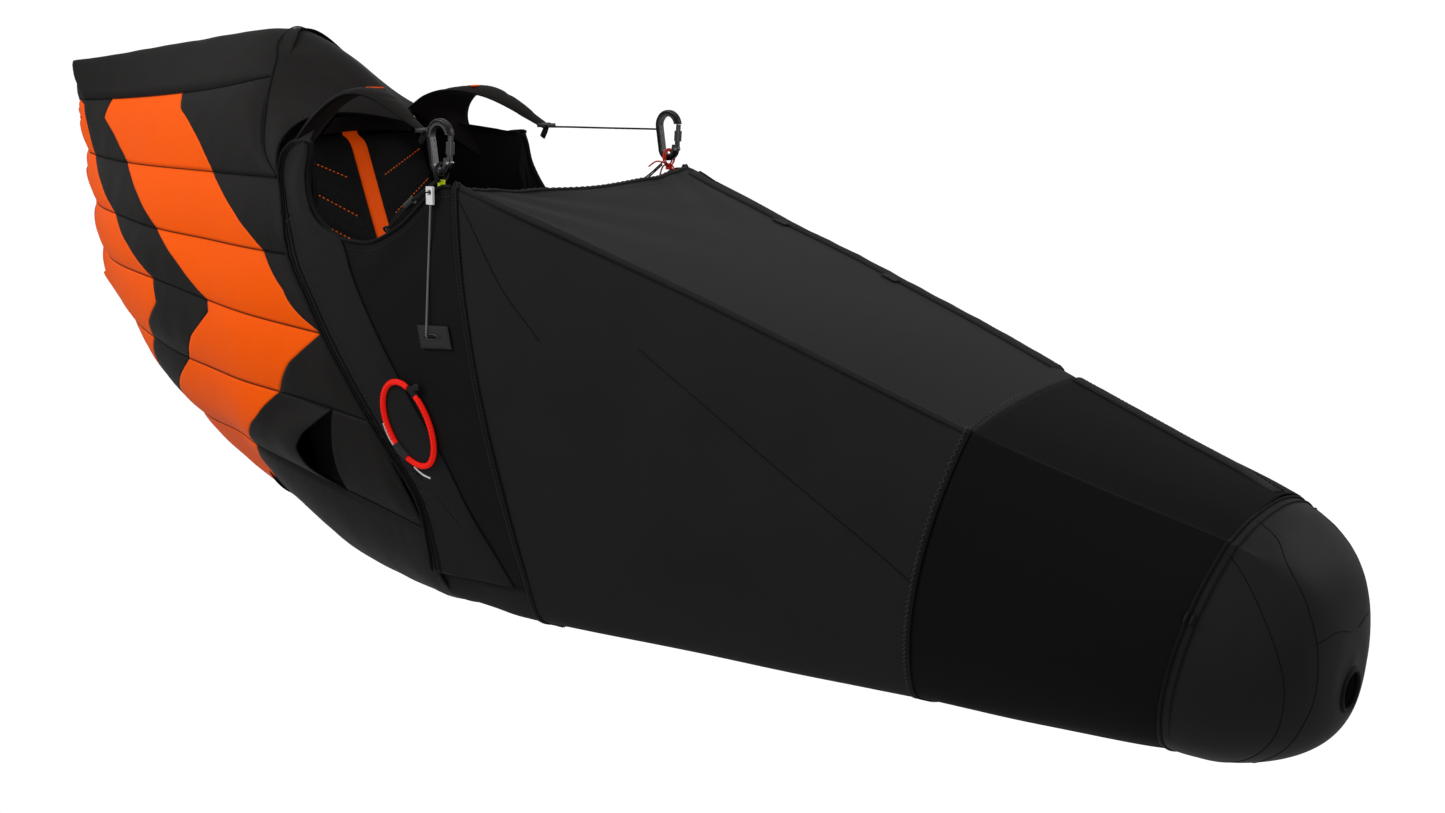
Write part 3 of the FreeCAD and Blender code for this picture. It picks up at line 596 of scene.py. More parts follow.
def webbing_material(name, color, direction=(1, 0, 0), roughness=0.6):
    """Flat woven strap: ribs along it and a fine cross weave."""
    n = Nodes(name)
    ribs = n.wave(direction, 0.0028)
    cross = n.wave((0.3, 1, 0.6), 0.0011)
    drift = n.noise(30.0)
    height = n.math("ADD", n.math("MULTIPLY", ribs, 0.5), n.math("MULTIPLY", cross, 0.25))
    shade = n.mix(height, scaled(color, 0.72), n.mix(drift, scaled(color, 0.95), scaled(color, 1.2)))
    n.bump(height, 0.0006, 0.7)
    return n.surface(shade, roughness, sheen=0.01, specular=0.12)


def cord_material(name, color):
    """Braided cord: two crossed spirals of strands."""
    n = Nodes(name)
    one = n.wave((1, 0.8, 1), 0.0026)
    two = n.wave((1, -0.8, -1), 0.0026)
    braid = n.math("MAXIMUM", one, two)
    drift = n.noise(60.0)
    shade = n.mix(braid, scaled(color, 0.6), n.mix(drift, scaled(color, 0.95), scaled(color, 1.15)))
    n.bump(braid, 0.0006, 0.8)
    return n.surface(shade, 0.6, sheen=0.01, specular=0.2)


def plastic_material(name, color, roughness=0.4, grain=900.0, coat=0.0):
    n = Nodes(name)
    drift = n.noise(40.0)
    fine = n.noise(grain, 2.0)
    shade = n.mix(drift, scaled(color, 0.85), scaled(color, 1.15))
    n.bump(fine, 0.0002, 0.35)
    return n.surface(shade, n.math("MULTIPLY_ADD", drift, 0.2, roughness - 0.1), coat=coat)


def metal_material(name, color, roughness=0.3, metallic=1.0, brushed=0.0, edge=None):
    """Metal with fine scratches; edge is the brighter colour of worn anodising."""
    n = Nodes(name)
    scratches = n.noise(260.0, 4.0, 0.6, (1, 1, 0.06) if brushed else (1, 1, 1))
    drift = n.noise(55.0)
    shade = n.mix(drift, scaled(color, 0.85), scaled(color, 1.15))
    if edge:
        geometry = n.tree.nodes.new("ShaderNodeNewGeometry")
        worn = n.math("SMOOTH_MIN", n.math("MULTIPLY", geometry.outputs["Pointiness"], 1.0), 1.0, 0.01)
        worn = n.math("GREATER_THAN", worn, 0.56)
        shade = n.mix(n.math("MULTIPLY", worn, 0.5), shade, edge)
    n.bump(scratches, 0.0001, 0.3)
    return n.surface(shade, n.math("MULTIPLY_ADD", scratches, 0.25, roughness - 0.1), metallic=metallic)


ORANGE = (1.0, 0.105, 0.0)
M = {
    "orange": cloth_material("fairing_orange", ORANGE, ripstop=0.0052, roughness=0.52, wear=0.06,
                             sheen=0.008),
    "fairing_black": cloth_material("fairing_black", (0.0125, 0.0115, 0.011), ripstop=0.0052, roughness=0.5,
                                    sheen=0.016),
    "hood": cloth_material("hood_black", (0.0115, 0.0105, 0.01), roughness=0.55, sheen=0.028),
    "charcoal": cloth_material("collar_charcoal", (0.0135, 0.0135, 0.0138), thread=0.0015, roughness=0.7,
                               sheen=0.024),
    "black": cloth_material("panel_black", grey(0.0072), thread=0.0015, roughness=0.72, sheen=0.018),
    "deck": cloth_material("deck_charcoal", grey(0.017), thread=0.0013, roughness=0.66, sheen=0.024),
    "pod": cloth_material("pod_side", grey(0.0145), thread=0.0013, roughness=0.68, sheen=0.02),
    "sleeve": cloth_material("sleeve_black", grey(0.0048), thread=0.0012, roughness=0.75, sheen=0.012),
    "nose": cloth_material("nose_charcoal", grey(0.0135), thread=0.0013, roughness=0.5, sheen=0.024),
    "lining": cloth_material("lining_black", grey(0.006), thread=0.0015, roughness=0.8, sheen=0.008),
    "pad": mesh_material("pad_mesh", (0.01, 0.01, 0.0105)),
    "piping": cloth_material("piping_black", grey(0.006), thread=0.001, roughness=0.55, sheen=0.024),
    "seam": cloth_material("seam_brown", (0.1, 0.014, 0.004), thread=0.0008, roughness=0.7, wear=0.1),
    "seam_dark": cloth_material("seam_dark", grey(0.003), thread=0.0008, roughness=0.8, wear=0.1),
    "patch": cloth_material("patch_black", grey(0.03), thread=0.0018, roughness=0.6, sheen=0.016),
    "strap": cloth_material("strap_black", (0.0125, 0.0105, 0.01), thread=0.0015, roughness=0.75,
                            sheen=0.024),
    "red_dark": cord_material("thread_red", (0.35, 0.006, 0.003)),
    "pin_white": plastic_material("pin_white", grey(0.62), roughness=0.3),
    "zip": cloth_material("zip_black", grey(0.007), thread=0.001, roughness=0.6, sheen=0.016),
    "strip": webbing_material("strip_orange", (1.0, 0.1, 0.0), (0, 1, 0)),
    "webbing": webbing_material("webbing_black", grey(0.012), (0, 1, 0.2)),
    "thread_orange": cord_material("thread_orange", (1.0, 0.14, 0.0)),
    "thread_grey": cord_material("thread_grey", grey(0.045)),
    "cord_black": cord_material("cord_black", grey(0.012)),
    "cord_grey": cord_material("cord_grey", grey(0.17)),
    "lime": cord_material("loop_lime", (0.68, 0.8, 0.004)),
    "red_cord": cord_material("loop_red", (0.62, 0.02, 0.01)),
    "red": webbing_material("handle_red", (1.0, 0.01, 0.003), (0.4, 0, 1), roughness=0.45),
    "plastic": plastic_material("plastic_black", grey(0.012)),
    "white": plastic_material("plastic_white", grey(0.72), roughness=0.35),
    "anodised": metal_material("anodised_black", (0.018, 0.018, 0.019), roughness=0.28, metallic=0.85,
                               edge=grey(0.2)),
    "steel": metal_material("steel", (0.55, 0.55, 0.56), roughness=0.28, brushed=1.0),
    "aluminium": metal_material("aluminium_grey", (0.12, 0.12, 0.125), roughness=0.3, brushed=1.0),
    "foam": plastic_material("foam_grey", (0.16, 0.16, 0.17), roughness=0.9, grain=300.0),
    "parachute": cloth_material("parachute_white", (0.72, 0.72, 0.7), ripstop=0.006, roughness=0.6,
                                wear=0.08),
    "board": plastic_material("board_black", (0.012, 0.012, 0.013), roughness=0.3, coat=0.4),
}

# painted light: the orange strip, orange thread and red handle get a small emission glow so they read
# brighter than the lamps alone make them
PAINTED_GLOW = {"strip": ((1.0, 0.09, 0.0), 0.2), "thread_orange": ((1.0, 0.12, 0.0), 0.25),
               "red": ((1.0, 0.012, 0.004), 0.22)}
for glowing, (tint, strength) in PAINTED_GLOW.items():
    surface = next(n for n in M[glowing].node_tree.nodes if n.type == "BSDF_PRINCIPLED")
    surface.inputs["Emission Color"].default_value = (*tint, 1.0)
    surface.inputs["Emission Strength"].default_value = strength


# ---------------------------------------------------------------- panels on a skin

class Rail:
    """Seam line on a skin, through side-view points from rear to front or from top to bottom."""

    def __init__(self, skin, xz, count=70, first=None, last=None):
        self.skin = skin
        self.uv = skin.find(resample(xz, count))
        if first:
            self.uv[0] = first
        if last:
            self.uv[-1] = last
        self.x = skin.point(self.uv[:, 0], self.uv[:, 1])[:, 0]

    def share(self, x):
        return np.interp(x, self.x, np.linspace(0, 1, len(self.x)))


def ring_u(skin, x, v):
    """u of the place with a given x on ring point v; sections run towards -X."""
    steps = np.linspace(0, skin.size[0], 400)
    xs = skin.point(steps, np.full(400, float(v)))[:, 0]
    order = np.argsort(xs)
    return float(np.interp(x, xs[order], steps[order]))


def cell(name, upper, lower, left, right, material, side, puff=0.008, spacing=0.007, lip=0.0, sink=0.0):
    """Puffed cloth cell between two rails. left and right are lists of (height share, x), or None for a
    rail's end. lip lifts its front edge into an open mouth; sink drops the whole cell inwards."""
    rows = 22
    t = np.linspace(0, 1, rows)

    def share(cut, missing):
        if cut is None:
            return np.full(rows, missing)
        x = np.interp(t, [p[0] for p in cut], [p[1] for p in cut])
        return upper.share(x) * (1 - t) + lower.share(x) * t

    low, high = share(left, 0.0), share(right, 1.0)
    length = abs(np.interp(high[rows // 2], np.linspace(0, 1, len(upper.x)), upper.x)
                 - np.interp(low[rows // 2], np.linspace(0, 1, len(upper.x)), upper.x))
    columns = max(int(length / spacing), 6)
    s = np.linspace(0, 1, columns)
    along = low[:, None] * (1 - s) + high[:, None] * s
    rail = np.linspace(0, 1, len(upper.uv))
    top = np.stack([np.interp(along, rail, upper.uv[:, k]) for k in range(2)], -1)
    bottom = np.stack([np.interp(along, rail, lower.uv[:, k]) for k in range(2)], -1)
    uv = top * (1 - t)[:, None, None] + bottom * t[:, None, None]
    u, v = uv[..., 0], uv[..., 1] * -side
    skin = upper.skin
    points, normal = skin.point(u, v), skin.normal(u, v)
    bell = 1 - np.abs(2 * t[:, None] - 1) ** 2.4
    gather = np.exp(-np.minimum(t, 1 - t)[:, None] * 9.0) - math.exp(-4.5)
    x = points[..., 0]
    wave = np.sin(x * 290 + 1.7 * np.sin(x * 61)) * np.sin(x * 37 + t[:, None] * 3) + 0.4 * np.sin(x * 520)
    lift = puff * bell + PUCKER * wave * gather * np.minimum(1, 12 * np.minimum(t, 1 - t))[:, None]
    lift = lift + 0.0011 * ripple(points, 34.0, 3.0) * bell
    if right is None or right is HOOD_REAR:
        lift = lift * smooth((1 - s) * length / TUCK_LENGTH)[None, :]
    lift = lift + lip * bell * smooth((s - 0.25) / 0.75)[None, :] - sink
    points = points + normal * lift[..., None]
    if left is None:
        points[..., 0] -= TAIL_SCALLOP * bell * smooth(1 - s / 0.2)[None, :]
    return sheet(name, points, material)


def stripes(name, upper, lower, cuts, side, **settings):
    """Row of cells of alternating colour; cuts is a list of (material name, right-hand cut)."""
    made = {}
    left = None
    for index, (colour, right) in enumerate(cuts):
        piece = cell(f"{name}_{index}", upper, lower, left, right, M[colour], side, **settings)
        made.setdefault(colour, []).append(piece)
        left = right
    return made


# ---------------------------------------------------------------- fairing

TAIL_SCALLOP = 0.005              # each cell bows this far out of the trailing edge
PUCKER = 0.0009                  # height of the small gathers along a cell's seams
TUCK_LENGTH = 0.03               # cells flatten over this length where they pass under a panel
TAIL = FAIRING.size[0]            # last section: the closed trailing edge
FAIRING_KEEL = FAIRING.size[1]


def keel_point(x):
    return (ring_u(FAIRING, x, FAIRING_KEEL), FAIRING_KEEL)


def tail_point(skin_rail_z):
    """(u, v) on the trailing edge at a height."""
    steps = np.linspace(0, FAIRING_KEEL, 300)
    z = FAIRING.point(np.full(300, float(TAIL)), steps)[:, 2]
    return (TAIL, float(np.interp(-skin_rail_z, -z, steps)))


SEAM_1 = Rail(FAIRING, [(-1.112, 0.079), (-0.92, 0.086), (-0.739, 0.097), (-0.6, 0.11), (-0.496, 0.128)],
              first=tail_point(0.079))
SEAM_2 = Rail(FAIRING, [(-1.1, -0.011), (-0.877, -0.018), (-0.562, -0.018), (-0.397, -0.018),
                        (-0.348, -0.019)], first=tail_point(-0.011))
SEAM_3 = Rail(FAIRING, [(-1.08, -0.097), (-0.9, -0.102), (-0.713, -0.113), (-0.5, -0.119), (-0.306, -0.124)],
              first=tail_point(-0.097))
SEAM_4 = Rail(FAIRING, [(-1.066, -0.183), (-0.9, -0.186), (-0.716, -0.191), (-0.531, -0.208),
                        (-0.226, -0.23)], first=tail_point(-0.183))
SEAM_5 = Rail(FAIRING, [(-1.02, -0.28), (-0.903, -0.282), (-0.755, -0.292), (-0.616, -0.309),
                        (-0.337, -0.325), (-0.14, -0.348)], first=keel_point(-1.03))
SEAM_6 = Rail(FAIRING, [(-0.85, -0.424), (-0.646, -0.421), (-0.445, -0.422), (-0.234, -0.464), (-0.08, -0.5)],
              first=keel_point(-0.86))
KEEL_RAIL = Rail(FAIRING, [(-0.86, -0.43), (-0.5, -0.58), (-0.1, -0.65)])
KEEL_RAIL.uv = np.stack([np.linspace(keel_point(-0.86)[0], keel_point(-0.118)[0], 70), np.full(70, 6.0)], 1)
KEEL_RAIL.x = FAIRING.point(KEEL_RAIL.uv[:, 0], KEEL_RAIL.uv[:, 1])[:, 0]
HOOD_REAR = [(0.0, -0.493), (0.22, -0.468), (0.73, -0.413), (1.0, -0.365)]


def fairing_rows(side):
    rows = [
        ("a", SEAM_1, SEAM_2, [("orange", [(0, -1.108), (1, -1.047)]),
                               ("fairing_black", [(0, -0.992), (0.4, -1.0), (1, -0.877)]),
                               ("orange", [(0, -0.739), (0.3, -0.715), (1, -0.562)]),
                               ("fairing_black", HOOD_REAR)]),
        ("b", SEAM_2, SEAM_3, [("orange", [(0, -1.047), (1, -0.9)]),
                               ("fairing_black", [(0, -0.877), (1, -0.713)]),
                               ("orange", [(0, -0.562), (1, -0.373)]),
                               ("fairing_black", None)]),
        ("c", SEAM_3, SEAM_4, [("orange", [(0, -0.9), (1, -0.716)]),
                               ("fairing_black", [(0, -0.713), (1, -0.531)]),
                               ("orange", [(0, -0.373), (1, -0.232)]),
                               ("fairing_black", None)]),
        ("d", SEAM_4, SEAM_5, [("orange", [(0, -0.716), (0.3, -0.696), (0.7, -0.747), (1, -0.758)]),
                               ("fairing_black", [(0, -0.531), (0.15, -0.523), (0.55, -0.581), (1, -0.616)]),
                               ("orange", [(0, -0.232), (0.5, -0.296), (1, -0.337)]),
                               ("fairing_black", None)]),
        ("e", SEAM_5, SEAM_6, [("orange", [(0, -0.758), (0.5, -0.8), (1, -0.845)]),
                               ("fairing_black", [(0, -0.616), (0.5, -0.689), (1, -0.753)]),
                               ("orange", [(0, -0.337), (0.5, -0.412), (0.9, -0.447), (1, -0.445)])]),
        ("f", SEAM_6, KEEL_RAIL, [("fairing_black", [(0, -0.753), (1, -0.8)]),
                                  ("orange", [(0, -0.445), (1, -0.655)]),
                                  ("fairing_black", None)]),
    ]
    label = SIDE_LABEL[side]
    groups = {}
    for row, upper, lower, cuts in rows:
        made = stripes(f"row_{row}_{label}", upper, lower, cuts, side, puff=0.005 if row == "f" else 0.0068)
        for colour, pieces in made.items():
            groups.setdefault(colour, []).extend(pieces)
    lip_cut = [(0, -0.222), (0.3, -0.268), (0.5, -0.284), (0.75, -0.274), (1, -0.234)]
    front_cut = [(0, -0.222), (0.5, -0.23), (1, -0.234)]
    row_end = rows[4][3][-1][1]          # front edge of the last orange cell in the scoop's row
    scoop = cell(f"scoop_outer_{label}", SEAM_5, SEAM_6, row_end, lip_cut, M["fairing_black"], side,
                 lip=0.016, spacing=0.004)
    front = cell(f"scoop_front_{label}", SEAM_5, SEAM_6, front_cut, None, M["fairing_black"], side,
                 puff=0.005)
    lining = cell(f"intake_lining_{label}", SEAM_5, SEAM_6, [(0, -0.3), (1, -0.3)],
                  [(0, -0.222), (1, -0.232)], M["lining"], side, puff=-0.016, sink=0.003)
    groups["fairing_black"].append(front)
    orange = join(f"fairing_orange_{label}", groups["orange"])
    black = join(f"fairing_black_{label}", groups["fairing_black"])
    attach(orange, "harness", "fairing_skin")
    attach(black, "harness")
    attach(scoop, "harness", "intake_scoops")
    attach(lining, "harness")
    return black


def rail_path(rail, side, lift):
    u, v = rail.uv[:, 0], rail.uv[:, 1] * -side
    return rail.skin.point(u, v) + rail.skin.normal(u, v) * lift


ORANGE_SPANS = (((-0.992, -0.739),), ((-1.12, -1.047), (-0.877, -0.562)), ((-1.12, -0.9), (-0.713, -0.373)),
                ((-1.12, -0.716), (-0.531, -0.232)), ((-1.12, -0.758), (-0.616, -0.337)),
                ((-1.12, -0.845), (-0.753, -0.445)))


def fairing_seams(side):
    """Row seams: brown thread where the cloth is orange, near-black where it is dark."""
    label = SIDE_LABEL[side]
    seams = []
    for rail, spans in zip((SEAM_1, SEAM_2, SEAM_3, SEAM_4, SEAM_5, SEAM_6), ORANGE_SPANS):
        path = resample(rail_path(rail, side, 0.0002), 240)
        bright = np.zeros(len(path), bool)
        for first, last in spans:
            bright |= (path[:, 0] > first) & (path[:, 0] < last)
        edges = [0] + [k for k in range(1, len(path)) if bright[k] != bright[k - 1]] + [len(path) - 1]
        for start, end in zip(edges, edges[1:]):
            if end - start < 3:
                continue
            material = M["seam"] if bright[(start + end) // 2] else M["seam_dark"]
            seams.append(tube("seam", path[start:end + 1], 0.0008, material, sides=6))
    piece = join(f"fairing_seams_{label}", seams)
    attach(piece, "harness")


def top_band():
    """Black band over the crest, from the tail to the hood."""
    rows, columns = 26, 110
    t = np.linspace(-1, 1, rows)
    s = np.linspace(0, 1, columns)
    rail = np.linspace(0, 1, len(SEAM_1.uv))
    u = np.interp(s, rail, SEAM_1.uv[:, 0])
    v = np.interp(s, rail, SEAM_1.uv[:, 1])
    reach = ring_u(FAIRING, -0.54, 0)
    crest_u = TAIL * (1 - s) + reach * s
    share = np.abs(t)[:, None] ** 1.5
    uu = crest_u[None, :] * (1 - share) + u[None, :] * share
    vv = t[:, None] * v[None, :]
    points = FAIRING.point(uu, vv)
    normal = FAIRING.normal(uu, vv)
    bell = (1 - np.abs(2 * np.abs(t) - 1) ** 2.2)[:, None]
    lift = (0.004 * bell + 0.0008 * ripple(points, 30.0, 5.0)) * smooth((1 - s) / 0.1)[None, :]
    points = points + normal * lift[..., None]
    points[..., 0] -= 0.6 * TAIL_SCALLOP * bell * smooth(1 - s / 0.1)[None, :]
    corner = np.exp(-(t / 0.45) ** 2)[:, None] * smooth(1 - s / 0.06)[None, :] ** 1.5
    points = points + corner[..., None] * np.array([0.016, 0, -0.02])
    crest = FAIRING.point(crest_u, 0.0)
    hump = crest[:, 2] - np.interp(crest[:, 0], (-1.12, -0.55), (0.141, 0.199))
    points[..., 2] -= hump[None, :] * np.exp(-(t / 0.6) ** 2)[:, None]
    band = sheet("fairing_top_band_cloth", points, M["fairing_black"], centre=(-0.75, 0, 0.0))
    attach(band, "harness", "fairing_top_band")


def arc_over(points, count):
    """Smooth line through points given for the right side, then mirrored to the left."""
    points = np.array(points, float)
    mirrored = points[-2::-1] * np.array([1, -1, 1])
    return resample(np.vstack([points, mirrored]), count)


def hood():
    """Neck fairing: from the hood seam over the crest to the free front edge between the wings."""
    columns = 121
    side_points = [(-0.372, -0.0185), (-0.427, 0.02), (-0.481, 0.091), (-0.522, 0.149)]
    uv = [tuple(pair) for pair in FAIRING.find(side_points)]
    uv += [(ring_u(FAIRING, -0.545, 1), 1.0), (ring_u(FAIRING, -0.556, 0), 0.0)]
    rear = arc_over([FAIRING.point(u, v) + FAIRING.normal(u, v) * 0.0026 for u, v in uv], columns)
    raised = arc_over([FAIRING.point(u, v) + FAIRING.normal(u, v) * 0.004 for u, v in uv], columns)
    front = arc_over([(-0.35, -0.222, -0.022), (-0.368, -0.212, 0.004), (-0.384, -0.188, 0.034),
                      (-0.393, -0.146, 0.058), (-0.394, -0.1, 0.068), (-0.376, -0.06, 0.071),
                      (-0.34, -0.026, 0.065), (-0.3, 0.0, 0.056)], columns)
    rows = 34
    t = np.linspace(0, 1, rows)[:, None, None]
    near_crest = np.exp(-(np.linspace(-1, 1, columns) / 0.34) ** 2)[:, None]
    middle = (rear + front) / 2 + above(1.0) * (0.006 + 0.012 * near_crest)
    points = (1 - t) * (1 - 2 * t) * rear + 4 * t * (1 - t) * middle + t * (2 * t - 1) * front
    points = points + above(0.0007) * ripple(points, 40.0, 8.0)[..., None]
    piece = sheet("hood_cloth", points, M["hood"], centre=(-0.45, 0, -0.1))
    edge = tube("hood_edge", front + np.array([0.001, 0, 0.001]), 0.0022, M["piping"], sides=8)
    rear_seam = tube("hood_seam", raised, 0.0012, M["piping"], sides=6)
    trim = join("hood_trim", [edge, rear_seam])
    attach(piece, "harness", "fairing_front_panel")
    attach(trim, "harness")
    neck_rows = []
    for share in np.linspace(0, 1, 12):
        ys = np.linspace(-1, 1, 40) * (0.092 - 0.016 * share)
        bow = 0.008 * np.cos(ys / 0.092 * math.pi / 2)
        height = 0.044 + 0.024 * share - 0.6 * ys ** 2
        neck_rows.append(np.stack([-0.404 + 0.014 * share + bow, ys, height], 1))
    flap = sheet("neck_flap", np.array(neck_rows), M["hood"], centre=(-0.6, 0, 0.0))
    attach(flap, "harness")


# ---------------------------------------------------------------- body panels

def lay(uv, side, skin):
    v = uv[..., 1] * -side
    return skin.point(uv[..., 0], v), skin.normal(uv[..., 0], v)


def ruled(skin, rear, front, rows, columns):
    """(u, v) grid between two side-view curves that both run downwards."""
    rear_uv = skin.find(resample(rear, rows))
    front_uv = skin.find(resample(front, rows))
    s = np.linspace(0, 1, columns)[None, :, None]
    return rear_uv[:, None] * (1 - s) + front_uv[:, None] * s


FAIRING_HALF_TABLE = None


def fairing_half(points):
    """Half-width of the fairing beside each point."""
    global FAIRING_HALF_TABLE
    if FAIRING_HALF_TABLE is None:
        steps_u = np.linspace(0, 3.2, 120)
        steps_v = np.linspace(1.0, 5.6, 120)
        uu, vv = np.meshgrid(steps_u, steps_v, indexing="ij")
        FAIRING_HALF_TABLE = FAIRING.point(uu, vv).reshape(-1, 3)
    table = FAIRING_HALF_TABLE
    flat = points.reshape(-1, 3)
    half = np.empty(len(flat))
    for k, point in enumerate(flat):
        near = np.argmin((table[:, 0] - point[0]) ** 2 + (table[:, 2] - point[2]) ** 2)
        half[k] = -table[near, 1]
    return half.reshape(points.shape[:-1])


WING_TOP = [(-0.282, 0.036), (-0.279, 0.02), (-0.277, -0.014), (-0.258, -0.053), (-0.228, -0.077),
            (-0.182, -0.094)]
COLLAR_TOP = [(-0.29, 0.038), (-0.32, 0.034), (-0.345, 0.016)]
BELLY = -0.568


def clip_low(curve, z):
    """The curve down to a height, ending exactly there."""
    kept = [p for p in curve if p[1] > z + 0.004]
    return kept + [(float(curve_x(curve, z)), z)]


def collar_panel(side):
    label = SIDE_LABEL[side]
    rear = COLLAR_TOP + clip_low(COLLAR_REAR, BELLY)
    front = WING_TOP[:-1] + clip_low(COLLAR_FRONT, BELLY)
    rows, columns = 110, 34
    uv = ruled(BODY, rear, front, rows, columns)
    points, normal = lay(uv, side, BODY)
    s = np.linspace(0, 1, columns)[None, :]
    height = points[..., 2]
    lift = 0.0035 * (1 - np.abs(2 * s - 1) ** 3) + 0.0008 * ripple(points, 26.0, 1.0)
    points = points + normal * lift[..., None]
    tuck = smooth(1 - s / 0.85) * smooth((0.045 - height) / 0.11)
    target = fairing_half(points) + 0.0035
    current = np.abs(points[..., 1])
    wanted = np.minimum(target, current)
    points[..., 1] = np.sign(points[..., 1]) * (current * (1 - tuck) + wanted * tuck)
    cloth = sheet(f"{label}_collar_cloth", points, M["charcoal"], centre=(0, 0, -0.3))
    attach(cloth, "harness", label + "_collar_panel")
    outward = np.array([0, side, 0])
    edges = []
    rear_edge = points[:, 0] + outward * 0.0012
    edges.append(tube("piping", resample(rear_edge, 160), 0.0028, M["piping"], sides=10))
    for column in (2, 4):
        line = points[:, column] + outward * 0.0016
        edges.append(tube("second_line", resample(line, 160), 0.001, M["piping"], sides=6))
    front_edge = points[14:, -1] + outward * 0.0012
    edges.append(tube("front_seam", resample(front_edge, 160), 0.0013, M["piping"], sides=6))
    top_edge = points[0]
    edges.append(tube("wing_edge", resample(top_edge, 40), 0.0022, M["piping"], sides=8))
    trim = join(f"{label}_collar_trim", edges)
    attach(trim, "harness")
    seam = resample(points[:, 6] + outward * 0.0011, 300)
    line = stitch_row(f"{label}_collar_stitches", seam, M["thread_grey"])
    attach(line, "harness")
    return points


def stitch_row(name, path, material, length=0.0034, gap=0.0024, radius=0.00045):
    """Separate stitches along a line that already lies on the cloth."""
    total = np.linalg.norm(np.diff(path, axis=0), axis=1).sum()
    count = max(int(total / (length + gap)), 2)
    fine = resample(path, count * 4 + 1, bend=False)
    vertices, faces = [], []
    for k in range(count):
        start, end = fine[4 * k], fine[4 * k + 2]
        run = (end - start) / np.linalg.norm(end - start)
        side = np.cross(run, (0.13, 0.31, 0.94))
        side /= np.linalg.norm(side)
        lift = np.cross(side, run)
        base = len(vertices)
        middle = (start + end) / 2
        for centre, size in ((start, 0.5), (middle, 1.0), (end, 0.5)):
            for angle in (0, 1, 2, 3):
                a = angle * math.pi / 2
                vertices.append(centre + (side * math.cos(a) + lift * math.sin(a)) * radius * size)
        for ring in (0, 1):
            for j in range(4):
                a, b = base + ring * 4 + j, base + ring * 4 + (j + 1) % 4
                faces.append((a, b, b + 4, a + 4))
        faces.append((base + 3, base + 2, base + 1, base))
        faces.append((base + 8, base + 9, base + 10, base + 11))
    return new_mesh(name, vertices, faces, material)


def side_panel(side):
    label = SIDE_LABEL[side]
    zip_rear = [(-0.0005 + x, z) for x, z in clip_low(ZIP_LINE, BELLY)]
    rows, columns = 90, 34
    rear_uv = BODY.find(resample(clip_low(COLLAR_FRONT, BELLY), rows))
    front_uv = BODY.find(resample(zip_rear, rows))
    s = np.linspace(0, 1, columns)
    t = np.linspace(0, 1, rows)
    uv = rear_uv[:, None] * (1 - s)[None, :, None] + front_uv[:, None] * s[None, :, None]
    rim = BODY.find(resample(ARM_RIM[2:], columns))
    drop = smooth(1 - t / 0.3)[:, None, None]
    uv = uv + drop * (rim[None] - uv[0][None])
    points, normal = lay(uv, side, BODY)
    lift = 0.0012 * ripple(points, 22.0, 2.0) * np.minimum(1, 8 * np.minimum(s, 1 - s))[None, :]
    pull = 0.0022 * np.sin(uv[..., 1] * 9 + points[..., 0] * 60) * np.exp(-t * 7)[:, None]
    pull = pull * np.minimum(1, 6 * np.minimum(s, 1 - s))[None, :]
    points = points + normal * (lift + pull)[..., None]
    cloth = sheet(f"{label}_side_cloth", points, M["black"], centre=(0, 0, -0.3))
    attach(cloth, "harness", label + "_side_panel")
    outward = np.array([0, side, 0])
    rim_path = resample(points[0] + outward * 0.0005 + above(0.001), 80)
    rim_tube = tube(f"{label}_arm_rim", rim_path, 0.0026, M["piping"], sides=10)
    attach(rim_tube, "harness")
    stitch_path = resample(points[2] + outward * 0.001, 200)
    stitches = stitch_row(f"{label}_arm_rim_stitches", stitch_path, M["thread_grey"])
    attach(stitches, "harness")
    return points


def under_panel():
    rear_uv = BODY.find(resample([(float(curve_x(COLLAR_REAR, BELLY)) - 0.004, BELLY), (-0.118, -0.62)], 12))
    front_x = [float(curve_x(ZIP_LINE, BELLY)), 0.069, 0.066]
    rows, columns = 60, 34
    v0 = BODY.find([(0.0, BELLY)])[0][1]
    v = np.linspace(v0, 2 * KEEL - v0, rows)
    rise = np.abs(v - KEEL) / (KEEL - v0)
    rear_u = np.interp(rise, [0, 1], [BODY.find([(-0.128, -0.64)])[0][0], rear_uv[0][0]])
    front_u = np.interp(rise, [0, 0.6, 1], [BODY.find([(front_x[2], -0.64)])[0][0],
                                            BODY.find([(front_x[1], -0.62)])[0][0],
                                            BODY.find([(front_x[0], BELLY)])[0][0]])
    s = np.linspace(0, 1, columns)
    uu = rear_u[:, None] * (1 - s) + front_u[:, None] * s
    vv = np.repeat(v[:, None], columns, 1)
    points, normal = BODY.point(uu, vv), BODY.normal(uu, vv)
    sunk = 0.014 * smooth(1 - s / 0.8)[None, :]
    points = points + normal * (0.001 * ripple(points, 18.0, 4.0) - sunk)[..., None]
    cloth = sheet("under_cloth", points, M["charcoal"], centre=(0, 0, -0.3))
    attach(cloth, "harness", "under_panel")
    seams = []
    for row, out in ((0, RIGHT), (rows - 1, LEFT)):
        path = points[row] + np.array([0, out * 0.001, -0.0004])
        seams.append(tube("belly_seam", resample(path, 60), 0.0012, M["piping"], sides=6))
    trim = join("belly_seams", seams)
    attach(trim, "harness")


